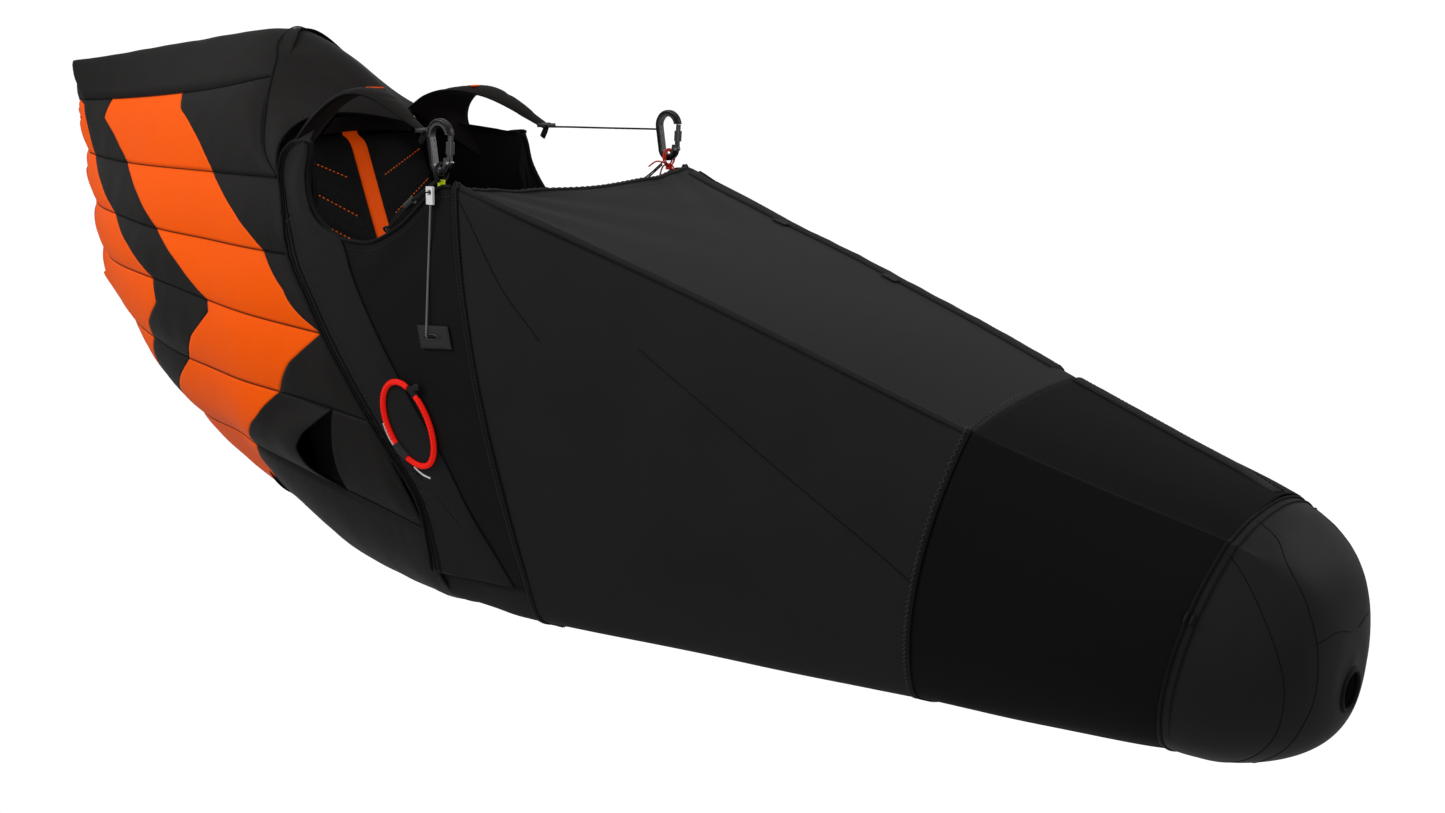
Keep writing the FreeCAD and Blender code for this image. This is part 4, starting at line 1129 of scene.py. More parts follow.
def zip_strip():
    """Raised strip where the pod zips to the body, from one arm rim under the keel to the other."""
    count = 260
    right = BODY.find(resample(ZIP_LINE[:-1] + [(0.068, -0.64)], count // 2))
    right[:, 1] = np.maximum(right[:, 1], CREASE + 0.3)
    ring = 2 * KEEL
    left = right[::-1].copy()
    left[:, 1] = ring - left[:, 1]
    uv = np.vstack([right, left])
    across = np.linspace(0, 1, 7)
    width = ZIP_WIDTH + 0.002
    rows = []
    for k in across:
        shifted = uv.copy()
        shifted[:, 0] = uv[:, 0] + (k * width - 0.001) / 0.15
        point = BODY.point(shifted[:, 0], shifted[:, 1])
        normal = BODY.normal(shifted[:, 0], shifted[:, 1])
        rows.append(point + normal * (0.0012 + 0.0016 * math.sin(math.pi * k)))
    strip = sheet("zip_strip_cloth", np.array(rows), M["zip"], centre=(0, 0, -0.3))
    attach(strip, "harness", "pod_zip_strip")
    out = []
    for k, name in ((1, "rear"), (5, "front")):
        point = rows[k]
        normal = BODY.normal(uv[:, 0], uv[:, 1])
        out.append(stitch_row(name, point + normal * 0.0006, M["thread_grey"], length=0.003, gap=0.002))
    line = join("zip_strip_stitches", out)
    attach(line, "harness")


# ---------------------------------------------------------------- pod

SLEEVE_U, NOSE_U, TIP_U = 2.0, 4.0, 8.0


def pod_sheet(name, u_values, v_values, material, shape=None, closed=False):
    uu, vv = np.meshgrid(u_values, v_values, indexing="ij")
    points, normal = POD.point(uu, vv), POD.normal(uu, vv)
    if shape is not None:
        points = points + normal * shape(points, uu, vv)[..., None]
    if not closed:
        return sheet(name, points, material, centre=(0.6, 0, -0.4)), points
    rows, columns = uu.shape
    piece = new_mesh(name, points.reshape(-1, 3), grid_faces(rows, columns, wrap=True), material)
    flip_outward(piece, (0.9, 0, -0.48))
    return thicken(piece), points


def deck_shape(points, u, v):
    """Sag between the creases near the opening, faint tension folds that run forward from each hang point."""
    near = np.clip(1 - u / 1.6, 0, 1)
    folds = np.zeros_like(u)
    for side in (RIGHT, LEFT):
        corner = np.array([0.047, side * 0.236])
        dx, dy = points[..., 0] - corner[0], points[..., 1] - corner[1]
        angle = np.arctan2(-side * dy, dx + 0.05)
        reach = np.hypot(dx, dy)
        folds += np.sin(angle * 17 + 0.6) * np.exp(-reach * 4.5) * np.minimum(1, reach * 9)
    return 0.0022 * folds * near + 0.0007 * ripple(points, 12.0, 6.0) + tent(points, v)


def hull_shape(points, _, v):
    """Nearly taut side; shallow waves under the crease and along the keel."""
    depth = np.minimum(v, 2 * KEEL - v) - CREASE
    edge = np.minimum(1, depth * 1.2)
    drape = np.sin(points[..., 0] * 11 + depth * 1.3) * np.exp(-((depth - 4.5) / 2.2) ** 2)
    return (0.0012 * drape + 0.0009 * ripple(points, 9.0, 7.0)) * edge


def pod_panels():
    u = np.linspace(0.0, SLEEVE_U, 130)
    top_v, side_v = np.linspace(-CREASE, CREASE, 61), np.linspace(CREASE, 2 * KEEL - CREASE, 150)
    deck, deck_points = pod_sheet("pod_deck_cloth", u, top_v, M["deck"], deck_shape)
    hull, _ = pod_sheet("pod_hull_cloth", u, side_v, M["pod"], hull_shape)
    attach(deck, BENDING, "pod_deck")
    attach(hull, BENDING, "pod_hull")
    return deck_points


def pod_ring(u, lift):
    """Closed line round the pod at one u."""
    v = np.linspace(0, 2 * KEEL, 200, endpoint=False)
    return POD.point(u, v) + POD.normal(u, v) * lift


def sleeve_and_nose():
    v = np.linspace(0, 2 * KEEL, 220, endpoint=False)

    def sleeve_shape(points, uu, vv):
        swell = 1 - np.abs(uu - 3.0) ** 3
        return 0.002 * swell + 0.0006 * ripple(points, 14.0, 9.0) + tent(points, vv)

    u = np.linspace(SLEEVE_U, NOSE_U, 70)
    sleeve, _ = pod_sheet("pod_sleeve_cloth", u, v, M["sleeve"], sleeve_shape, closed=True)
    attach(sleeve, "pod", "pod_sleeve")
    nose_cap()
    trims = []
    for u_at, radius, material in ((SLEEVE_U, 0.0016, "piping"), (NOSE_U, 0.0024, "piping"),
                                   (NOSE_U + 0.1, 0.0012, "piping")):
        ring = pod_ring(u_at, LIFT)
        trims.append(tube("band", ring, radius, M[material], sides=8, closed=True, flat=0.7))
    trim = join("pod_band_seams", trims)
    attach(trim, "pod")
    return sleeve


VENT_CENTRE = Vector((1.186, 0.0, -0.54))
VENT_RADIUS = 0.0245
CAP_END = 1.15                    # the vent is cut only ahead of this x
NOSE_ROWS, NOSE_COLUMNS = 110, 240
NOSE_SHORTER, NOSE_FULLER = 0.021, 0.011      # the tip lies further back, and the underside bulges out


def nose_points():
    """Grid of the cap; the pod's creases fade out over its first part."""
    v = np.linspace(0, 2 * KEEL, NOSE_COLUMNS, endpoint=False)
    u = np.linspace(NOSE_U, TIP_U, NOSE_ROWS)
    uu, vv = np.meshgrid(u, v, indexing="ij")
    points = POD.point(uu, vv)
    rounded = points
    for _ in range(150):
        rounded = (np.roll(rounded, 1, 1) + 2 * rounded + np.roll(rounded, -1, 1)) / 4
    centre = points.mean(1, keepdims=True)
    grown = (np.linalg.norm(points - centre, axis=-1).mean(1) / np.maximum(
        np.linalg.norm(rounded - centre, axis=-1).mean(1), 1e-6))[:, None, None]
    rounded = centre + (rounded - centre) * grown
    share = smooth((uu - NOSE_U) / 0.9)[..., None]
    points = points * (1 - share) + rounded * share
    along = (uu - NOSE_U) / (TIP_U - NOSE_U)
    underside = ((1 - np.cos(math.pi * vv / KEEL)) / 2) ** 1.5
    points[..., 0] -= NOSE_SHORTER * smooth(along)
    points[..., 2] -= NOSE_FULLER * np.sin(math.pi * np.clip(along, 0, 1) ** 0.6) * underside
    return points


NOSE_GRID = nose_points()


def on_nose(u, v, lift=0.0):
    """Points on the cap's rounded surface, lifted away from its middle."""
    row = np.clip((np.asarray(u, float) - NOSE_U) / (TIP_U - NOSE_U), 0, 0.9999) * (NOSE_ROWS - 1)
    column = (np.asarray(v, float) / (2 * KEEL) * NOSE_COLUMNS) % NOSE_COLUMNS
    i, j = row.astype(int), column.astype(int)
    a, b = (row - i)[..., None], (column - j)[..., None]
    after = (j + 1) % NOSE_COLUMNS
    point = ((NOSE_GRID[i, j] * (1 - b) + NOSE_GRID[i, after] * b) * (1 - a)
             + (NOSE_GRID[i + 1, j] * (1 - b) + NOSE_GRID[i + 1, after] * b) * a)
    return point + POD.normal(u, v) * lift


def nose_cap():
    """Rounded cap with a round vent in its end."""
    faces = grid_faces(NOSE_ROWS, NOSE_COLUMNS, wrap=True)
    piece = new_mesh("nose_cap_cloth", NOSE_GRID.reshape(-1, 3), faces, M["nose"])
    work = bmesh.new()
    work.from_mesh(piece.data)

    def from_axis(co):
        return math.hypot(co.y - VENT_CENTRE.y, co.z - VENT_CENTRE.z)

    def in_vent(centre):
        return centre.x > CAP_END and from_axis(centre) < VENT_RADIUS

    doomed = [face for face in work.faces if in_vent(face.calc_center_median())]
    bmesh.ops.delete(work, geom=doomed, context="FACES")
    for vertex in work.verts:
        if vertex.is_boundary and vertex.co.x > CAP_END:
            away = from_axis(vertex.co)
            vertex.co.y = VENT_CENTRE.y + (vertex.co.y - VENT_CENTRE.y) / away * VENT_RADIUS
            vertex.co.z = VENT_CENTRE.z + (vertex.co.z - VENT_CENTRE.z) / away * VENT_RADIUS
    bmesh.ops.remove_doubles(work, verts=work.verts, dist=1e-5)
    work.to_mesh(piece.data)
    work.free()
    flip_outward(piece, (1.05, 0, -0.5))
    thicken(piece)
    attach(piece, "pod", "nose_cap")


def vent_rim():
    """Soft rolled rim round the vent, laid on the cap."""
    angles = full_turn(64)
    ring_points = []
    for angle in angles:
        y = VENT_RADIUS * math.cos(angle)
        z = VENT_CENTRE.z + VENT_RADIUS * math.sin(angle)
        ring_points.append((cap_x(y, z), y, z))
    rim = tube("nose_vent_rim_cloth", ring_points, 0.003, M["piping"], sides=12, closed=True)
    tunnel = []
    for depth, grow in ((0.0, 0.99), (0.012, 1.0), (0.026, 1.02)):
        for x, y, z in ring_points:
            tunnel.append((x - depth, y * grow, VENT_CENTRE.z + (z - VENT_CENTRE.z) * grow))
    lining = new_mesh("lining", np.array(tunnel), grid_faces(3, 64, wrap=True), M["sleeve"])
    thicken(lining, 0.001)
    piece = join("nose_vent_trim", [rim, lining])
    attach(piece, "pod", "nose_vent_rim")


CAP_TABLE = None


def cap_x(y, z):
    """x of the nose's surface beside a point of its end view."""
    global CAP_TABLE
    if CAP_TABLE is None:
        uu, vv = np.meshgrid(np.linspace(NOSE_U, TIP_U, 300), np.linspace(0, 2 * KEEL, 500), indexing="ij")
        CAP_TABLE = on_nose(uu, vv).reshape(-1, 3)
    near = np.argmin((CAP_TABLE[:, 1] - y) ** 2 + (CAP_TABLE[:, 2] - z) ** 2)
    return float(CAP_TABLE[near, 0])


# ---------------------------------------------------------------- zip of the pod

ZIP_REAR, ZIP_FRONT = np.array([0.05, 0.228, -0.014]), np.array([1.06, 0.012, -0.335])
TAB_X = (0.265, 0.48)
SLEEVE_REAR = 0.76                # ahead of this x the zip lies on the sleeve


def zip_line_at(x):
    share = (x - ZIP_REAR[0]) / (ZIP_FRONT[0] - ZIP_REAR[0])
    return ZIP_REAR + (ZIP_FRONT - ZIP_REAR) * share


def crease_at(x):
    """Half-width and height of the pod's crease at an x."""
    u = ring_u(POD, x, CREASE)
    point = POD.point(u, float(CREASE))
    return -point[1], point[2]


TENT_HEIGHT = 0.027              # most that the zip holds the top cloth up
TENT_X = np.linspace(0.05, 1.06, 40)
TENT_HALF = np.array([crease_at(x)[0] for x in TENT_X])


def tent(points, v):
    """How far the top cloth is drawn up to the zip, which runs in a straight line across it."""
    x, y = points[..., 0], points[..., 1]
    half = np.interp(x, TENT_X, TENT_HALF)
    share = np.clip((x - ZIP_REAR[0]) / (ZIP_FRONT[0] - ZIP_REAR[0]), 0, 1)
    ridge_y = ZIP_REAR[1] + (ZIP_FRONT[1] - ZIP_REAR[1]) * share
    rise = TENT_HEIGHT * np.sin(math.pi * (0.08 + 0.84 * share ** 1.25))
    near = np.clip((y + half) / (ridge_y + half), 0, 1)
    far = np.clip((half - y) / np.maximum(half - ridge_y, 0.005), 0, 1)
    inside = np.abs(((v + KEEL) % (2 * KEEL)) - KEEL) < CREASE + 0.01
    return rise * np.minimum(near, far) * inside


TOP_TABLE = {}


def top_of(piece, x, y):
    """Point on a piece's upper surface at a plan position, or None."""
    if piece.name not in TOP_TABLE:
        TOP_TABLE[piece.name] = surface_tree(piece)
    hit = TOP_TABLE[piece.name].ray_cast(Vector((x, y, 0.6)), Vector((0, 0, -1)))
    return None if hit[0] is None else np.array(hit[0])


def zip_flap(deck, sleeve):
    """Narrow cover over the long zip, with a stitched edge on each side, laid on the top cloth."""
    xs = np.linspace(0.06, 1.076, 154)
    along = (ZIP_FRONT - ZIP_REAR) / np.linalg.norm(ZIP_FRONT - ZIP_REAR)
    across = np.cross(along, (0, 0, 1))
    across /= np.linalg.norm(across)
    rows = []
    offsets = np.linspace(-0.011, 0.011, 9)
    for offset in offsets:
        row = []
        for x in xs:
            centre = zip_line_at(x)
            at = centre + across * offset
            found = top_of(deck, at[0], at[1])
            if found is None or at[0] > SLEEVE_REAR:
                found = top_of(sleeve, at[0], at[1])
            if found is None and len(row) > 1:
                found = row[-1] + (row[-1] - row[-2])
            if found is None:
                found = np.array([at[0], at[1], centre[2] - 0.002])
            row.append(found)
        rows.append(resample(np.array(row), len(xs), bend=False))
    rows = np.array(rows)
    rise = 0.0016 + 0.0034 * np.cos(offsets / 0.011 * math.pi / 2) ** 0.8
    flatten = 1 - 0.7 * smooth((rows[..., 0] - 1.02) / 0.05)
    rows[..., 2] += rise[:, None] * flatten
    flap = sheet("pod_zip_flap", rows, M["deck"], centre=(0.6, 0, -0.6))
    attach(flap, BENDING)
    coil = tube("pod_zip_coil", resample(rows[0] + above(0.0006), 260), 0.0014, M["zip"], sides=8)
    attach(coil, BENDING)
    stitches = join("pod_zip_stitches", [stitch_row("row", rows[k] + above(0.0006), M["thread_grey"])
                                         for k in (1, -2)])
    attach(stitches, BENDING)
    tabs = []
    for x in TAB_X:
        centre = zip_line_at(x)
        grid = []
        for a in np.linspace(-0.5, 0.5, 7):
            line = []
            for b in np.linspace(-0.5, 0.5, 9):
                at = centre + across * (a * 0.016 + 0.011) + along * (b * 0.026)
                found = top_of(deck, at[0], at[1])
                base = found if found is not None else at
                bow = 0.003 + 0.0012 * math.cos(a * math.pi) * math.cos(b * math.pi)
                line.append(base + np.array([0, 0, bow]))
            grid.append(line)
        tab = sheet("tab", np.array(grid), M["webbing"], centre=(0.4, 0, -0.6))
        edge = np.array([line[0] for line in grid] + grid[-1][1:] + [line[-1] for line in grid[-2::-1]]
                        + grid[0][-2:0:-1])
        tabs += [tab, stitch_row("edge", edge + above(0.0005), M["thread_grey"])]
    tab_piece = join("closure_tabs_cloth", tabs)
    attach(tab_piece, BENDING, "closure_tabs")


# panel seams of the pod's right side as (u, v); the left side mirrors them
POD_SIDE_SEAMS = ([(0.0, 3.11), (0.18, 3.81), (0.38, 4.28)],
                  [(0.83, 3.86), (1.11, 4.17), (1.42, 4.61), (1.7, 5.07), (2.0, 5.62)])


def pod_trims(deck_points):
    """Crease seams, the folded hem with its cord, the long diagonal side seam and the sleeve's zigzag."""
    creases = []
    for column in (0, -1):
        path = deck_points[:, column] + above(0.0006)
        creases.append(tube("crease", resample(path, 150), 0.0007, M["piping"], sides=6))
    crease = join("pod_crease_seams", creases)
    attach(crease, BENDING)
    hem = deck_points[0] + np.array([0.002, 0, 0.0005])
    hem_tube = tube("pod_deck_hem", resample(hem, 140), 0.0022, M["deck"], sides=12)
    cord = resample(hem + np.array([-0.005, 0, 0.0008]), 160)
    twist = np.linspace(0, 2 * math.pi * 46, 160)
    cord[:, 0] += 0.0006 * np.cos(twist)
    cord[:, 2] += 0.0006 * np.sin(twist)
    hem_cord = tube("pod_hem_cord", cord, 0.0014, M["cord_black"], sides=8)
    stitches = stitch_row("pod_hem_stitches", deck_points[3] + above(0.0008), M["thread_grey"])
    attach(hem_tube, "harness")
    attach(hem_cord, "harness")
    attach(stitches, "harness")
    diagonals = []
    for side in (RIGHT, LEFT):
        for line in POD_SIDE_SEAMS:
            uv = resample(line, 120)
            v = uv[:, 1] if side == RIGHT else 2 * KEEL - uv[:, 1]
            normal = POD.normal(uv[:, 0], v)
            path = POD.point(uv[:, 0], v) + normal * 0.0006
            path = path + normal * hull_shape(path, uv[:, 0], v)[..., None]
            diagonals.append(tube("diagonal", path, 0.0006, M["piping"], sides=6))
    diagonal = join("pod_diagonal_seams", diagonals)
    attach(diagonal, BENDING)
    v = np.linspace(0, 2 * KEEL, 900, endpoint=False)
    uu = SLEEVE_U - 0.022 + 0.008 * (2 * np.abs((np.arange(900) / 4) % 1 - 0.5) * 2 - 1)
    path = POD.point(uu, v) + POD.normal(uu, v) * 0.0016
    path[:, 2] += tent(path, v) * 0.9
    line = tube("sleeve_zigzag", path, 0.0005, M["thread_grey"], sides=4, closed=True)
    attach(line, BENDING)


# panel seams of the cap's right half as (u, v); the left half mirrors them
NOSE_SEAMS = ([(4.06, 1.0), (4.5, 1.3), (4.89, 1.9), (5.81, 3.35), (6.42, 4.65), (6.52, 6.35), (5.93, 8.24),
               (5.2, 9.6), (4.8, 11.0)],
              [(4.06, 3.2), (4.86, 3.9), (5.56, 5.05), (5.82, 6.25), (5.64, 7.7), (4.95, 9.2), (4.06, 9.9)],
              [(6.24, 4.27), (6.55, 3.6), (6.88, 2.4), (7.18, 0.8)])


def nose_trims():
    """Panel seams of the cap, and a small loop beside its front seam."""
    seams = []
    for half_seam in NOSE_SEAMS:
        line = resample(half_seam, 90)
        for v in (line[:, 1], 2 * KEEL - line[:, 1]):
            seams.append(tube("panel_seam", on_nose(line[:, 0], v, 0.0001), 0.0005, M["seam_dark"], sides=6))
    loop_v, loop_u = 4.7, NOSE_U + 0.02
    base = POD.point(loop_u, loop_v)
    normal = POD.normal(loop_u, loop_v)
    up = POD.point(loop_u, loop_v - 0.25) - base
    up /= np.linalg.norm(up)
    for k in (-1, 1):
        arch = [base + up * (0.006 * math.cos(a)) + normal * (0.007 * math.sin(a))
                + np.cross(up, normal) * 0.0035 * k for a in np.linspace(0, math.pi, 14)]
        seams.append(tube("loop", arch, 0.0014, M["webbing"], sides=8))
    trim = join("nose_seams", seams)
    attach(trim, "pod")


# ---------------------------------------------------------------- padded parts

BACK_CURVE = [(-0.44, 0.044), (-0.382, -0.114), (-0.3, -0.285), (-0.19, -0.41)]


def inflate(node, name, material, pressure, travel, voxel=0.005):
    """Soft copy of a CAD pad: its cloth swells under pressure by at most travel."""
    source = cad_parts[node]
    mesh = source.data.copy()
    piece = bpy.data.objects.new(name, mesh)
    bpy.context.scene.collection.objects.link(piece)
    mesh.materials.clear()
    mesh.materials.append(material)
    remesh = piece.modifiers.new("remesh", "REMESH")
    remesh.mode = "VOXEL"
    remesh.voxel_size = voxel
    apply_modifiers(piece)
    before = np.array([v.co for v in piece.data.vertices])
    cloth = piece.modifiers.new("cloth", "CLOTH")
    cloth.settings.use_pressure = True
    cloth.settings.uniform_pressure_force = pressure
    cloth.settings.effector_weights.gravity = 0.0
    cloth.settings.quality = 6
    cloth.settings.tension_stiffness = 12
    cloth.settings.compression_stiffness = 12
    for step in range(1, 21):
        bpy.context.scene.frame_set(step)
    depsgraph = bpy.context.evaluated_depsgraph_get()
    swollen = np.array([v.co for v in piece.evaluated_get(depsgraph).to_mesh().vertices])
    piece.modifiers.clear()
    bpy.context.scene.frame_set(1)
    move = swollen - before
    length = np.linalg.norm(move, axis=1, keepdims=True)
    move *= np.minimum(1, travel / np.maximum(length, 1e-9))
    set_points(piece, before + move)
    relax = piece.modifiers.new("relax", "CORRECTIVE_SMOOTH")
    relax.iterations = 6
    relax.use_only_smooth = True
    subdivide = piece.modifiers.new("finer", "SUBSURF")
    subdivide.levels = subdivide.render_levels = 1
    apply_modifiers(piece)
    piece.data.polygons.foreach_set("use_smooth", [True] * len(piece.data.polygons))
    return piece


def points_and_normals(piece):
    vertices = piece.data.vertices
    return np.array([v.co for v in vertices]), np.array([v.normal for v in vertices])


def set_points(piece, points):
    piece.data.vertices.foreach_set("co", points.astype(np.float32).ravel())
    piece.data.update()


def press_seams(piece, lines, depth, width):
    """Draws the cloth in along quilting lines, each a list of points."""
    points, normals = points_and_normals(piece)
    nearest = np.full(len(points), 1e9)
    for line in lines:
        for start, end in zip(line, line[1:]):
            run = end - start
            share = np.clip(((points - start) @ run) / (run @ run), 0, 1)
            nearest = np.minimum(nearest, np.linalg.norm(points - start - share[:, None] * run, axis=1))
    set_points(piece, points - normals * (depth * np.exp(-(nearest / width) ** 2))[:, None])


def surface_tree(piece):
    return BVHTree.FromPolygons([v.co.copy() for v in piece.data.vertices],
                                [tuple(p.vertices) for p in piece.data.polygons])


def drop_on(tree, points, direction, lift):
    """Moves points onto a surface along a direction and lifts them off it."""
    direction = Vector(direction).normalized()
    moved = []
    for point in points:
        start = Vector(point) - direction * 0.06
        hit = tree.ray_cast(start, direction)
        if hit[0] is not None:
            moved.append(np.array(hit[0] - direction * lift))
    return np.array(moved)


def back_point(share, y, out=0.0):
    """Point on the front of the back pad: share runs down its curve."""
    line = resample(BACK_CURVE, 200)
    lengths = np.linspace(0, 1, 200)
    x, z = np.interp(share, lengths, line[:, 0]), np.interp(share, lengths, line[:, 1])
    ahead = np.array([np.interp(min(share + 0.01, 1), lengths, line[:, 0]) - x,
                      np.interp(min(share + 0.01, 1), lengths, line[:, 1]) - z])
    if np.linalg.norm(ahead) < 1e-9:
        ahead = line[-1] - line[-2]
    ahead /= np.linalg.norm(ahead)
    normal = np.array([-ahead[1], ahead[0]])
    if normal[0] < 0:
        normal = -normal
    return np.array([x + normal[0] * out, y, z + normal[1] * out])


def chevrons():
    """Quilting lines of the back pad: pairs of slanting lines that meet at the spine."""
    lines = []
    for start, end in ((0.07, 0.15), (0.165, 0.27), (0.26, 0.365), (0.36, 0.47)):
        for side in (RIGHT, LEFT):
            lines.append(np.array([back_point(start + (end - start) * k, side * (0.132 - 0.096 * k), 0.004)
                                   for k in np.linspace(0, 1, 14)]))
    return lines


def back_and_seat():
    back = inflate("back_pad", "back_pad_cloth", M["pad"], 4.0, 0.007)
    lines = chevrons()
    press_seams(back, lines, 0.0035, 0.008)
    attach(back, "harness", "back_pad")
    tree = surface_tree(back)
    inward = Vector((-1.0, 0, -0.45))
    rows = []
    for line in lines:
        laid = drop_on(tree, resample(line, 60, bend=False), inward, 0.0006)
        if len(laid) > 4:
            rows.append(stitch_row("row", laid, M["thread_orange"], length=0.006, gap=0.0015, radius=0.0009))
    stitches = join("back_pad_stitches", rows)
    attach(stitches, "harness")

    strip_rows = []
    for y in np.linspace(-0.015, 0.015, 5):
        line = np.array([back_point(k, y, 0.01) for k in np.linspace(0.0, 0.98, 70)])
        laid = drop_on(tree, line, inward, 0.0022 - 0.0006 * abs(y) / 0.015)
        laid = np.vstack([laid[:1] + np.array([-0.003, 0, 0.008]), laid])
        strip_rows.append(resample(laid, 70))
    strip = sheet("spine_strip_cloth", np.array(strip_rows), M["strip"], centre=(-0.6, 0, -0.3))
    attach(strip, "harness", "spine_strip")
    middle_path = strip_rows[2] + np.array([0.0012, 0, 0.0006])
    middle = stitch_row("spine_strip_stitches", middle_path, M["thread_orange"])
    attach(middle, "harness")

    neck = inflate("neck_pad", "neck_pad_cloth", M["pad"], 3.0, 0.005, voxel=0.004)
    seat = inflate("seat_pad", "seat_pad_cloth", M["pad"], 4.0, 0.007)
    press_across(seat, (-0.1, -0.02, 0.06), 0.004, 0.01)
    for piece, node in ((neck, "neck_pad"), (seat, "seat_pad")):
        attach(piece, "harness", node)
    return back


def press_across(piece, places, depth, width):
    """Draws the upper cloth down along quilting lines that run from side to side at the given x."""
    points, normals = points_and_normals(piece)
    nearest = np.min([np.abs(points[:, 0] - x) for x in places], axis=0)
    points[:, 2] -= depth * np.exp(-(nearest / width) ** 2) * np.clip(normals[:, 2] * 2, 0, 1)
    set_points(piece, points)


# edges of a shoulder strap from its root beside the neck, over the arch to the tip; y is how far out it lies
STRAP_OUTER = [(-0.35, 0.204, -0.008), (-0.36, 0.188, 0.03), (-0.354, 0.166, 0.062), (-0.33, 0.15, 0.09),
               (-0.295, 0.141, 0.107), (-0.25, 0.138, 0.105), (-0.2, 0.136, 0.084), (-0.145, 0.133, 0.053)]
STRAP_INNER = [(-0.392, 0.078, 0.076), (-0.358, 0.078, 0.098), (-0.31, 0.082, 0.109), (-0.25, 0.092, 0.103),
               (-0.2, 0.107, 0.083), (-0.146, 0.121, 0.052)]


def shoulder_strap(side):
    """Arched padded band that narrows to a tip in front, with piping round its edge."""
    label = SIDE_LABEL[side]
    count, sides = 90, 28
    mirror = np.array([1, side, 1])
    outer = resample(STRAP_OUTER, count) * mirror
    inner = resample(STRAP_INNER, count) * mirror
    middle, across = (outer + inner) / 2, (outer - inner) / 2
    along = np.gradient(middle, axis=0)
    normals = np.cross(along, across) * side
    normals /= np.linalg.norm(normals, axis=1, keepdims=True)
    t = np.linspace(0, 1, count)
    thick = np.interp(t, [0, 0.1, 0.85, 1.0], [0.007, 0.011, 0.01, 0.004])
    crown = np.interp(t, [0, 0.25, 0.8, 1.0], [0.002, 0.008, 0.004, 0.0])
    vertices = []
    for k in range(count):
        quilt = 1 - 0.28 * math.exp(-((t[k] * 5.0) % 1.0 - 0.5) ** 2 / 0.012)
        for j in range(sides):
            angle = 2 * math.pi * j / sides
            c, d = math.cos(angle), math.sin(angle)
            reach = math.copysign(abs(c) ** 0.45, c)
            lift = thick[k] / 2 * (math.copysign(abs(d) ** 0.8, d) * (quilt if d > 0 else 1.0) - 1.0)
            lift += crown[k] * (1 - reach ** 2)
            vertices.append(middle[k] + across[k] * reach + normals[k] * lift)
    faces = grid_faces(count, sides, wrap=True)
    faces += [tuple(range(sides))[::-1], tuple((count - 1) * sides + j for j in range(sides))]
    strap = new_mesh(f"{label}_shoulder_strap_cloth", vertices, faces, M["strap"])
    fix_normals(strap)
    edges = [tube("edge", edge - normals * thick[:, None] / 2, 0.002, M["piping"], sides=8)
             for edge in (inner, outer)]
    edges.append(strap_tab(middle, across, along, normals))
    trim = join(f"{label}_shoulder_strap_trim", edges)
    attach(strap, "harness", f"{label}_shoulder_strap")
    attach(trim, "harness")


def strap_tab(middle, across, along, normals):
    """Small orange tab at the top of the arch."""
    at = int(np.argmax(middle[:, 2]))
    run = along[at] / np.linalg.norm(along[at])
    centre = middle[at] - across[at] * 0.45 + normals[at] * 0.006
    grid = [[centre + across[at] * 0.3 * a + run * 0.006 * b for b in np.linspace(-1, 1, 6)]
            for a in np.linspace(-1, 1, 6)]
    return sheet("tab", np.array(grid), M["strip"], centre=(-0.3, 0, -0.2))


def webbing_inside():
    """Hip webbing inside the shell, and the webbing of the chest strap."""
    for side, label in SIDE_LABEL.items():
        heights = np.linspace(-0.014, -0.398, 40)
        rows = []
        for x in (0.004, 0.0165, 0.029):
            uv = BODY.find(np.stack([np.full(40, x), heights], 1))
            points, normal = lay(uv, side, BODY)
            rows.append(points - normal * 0.0062)
        strap = sheet(f"{label}_hip_webbing", np.array(rows), M["webbing"], centre=(0, 0, -0.2))
        attach(strap, "harness", "main_webbing" if side == RIGHT else None)
    box_low, box_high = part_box("chest_strap")
    ys = np.linspace(box_low.y, box_high.y, 60)
    rows = []
    for x in np.linspace(box_low.x + 0.002, box_high.x - 0.002, 5):
        rows.append(np.stack([np.full(60, x), ys, np.full(60, box_high.z - 0.0006)], 1))
    chest = sheet("chest_strap_webbing", np.array(rows), M["webbing"], centre=(0, 0, -0.4))
    attach(chest, "harness", "chest_strap")


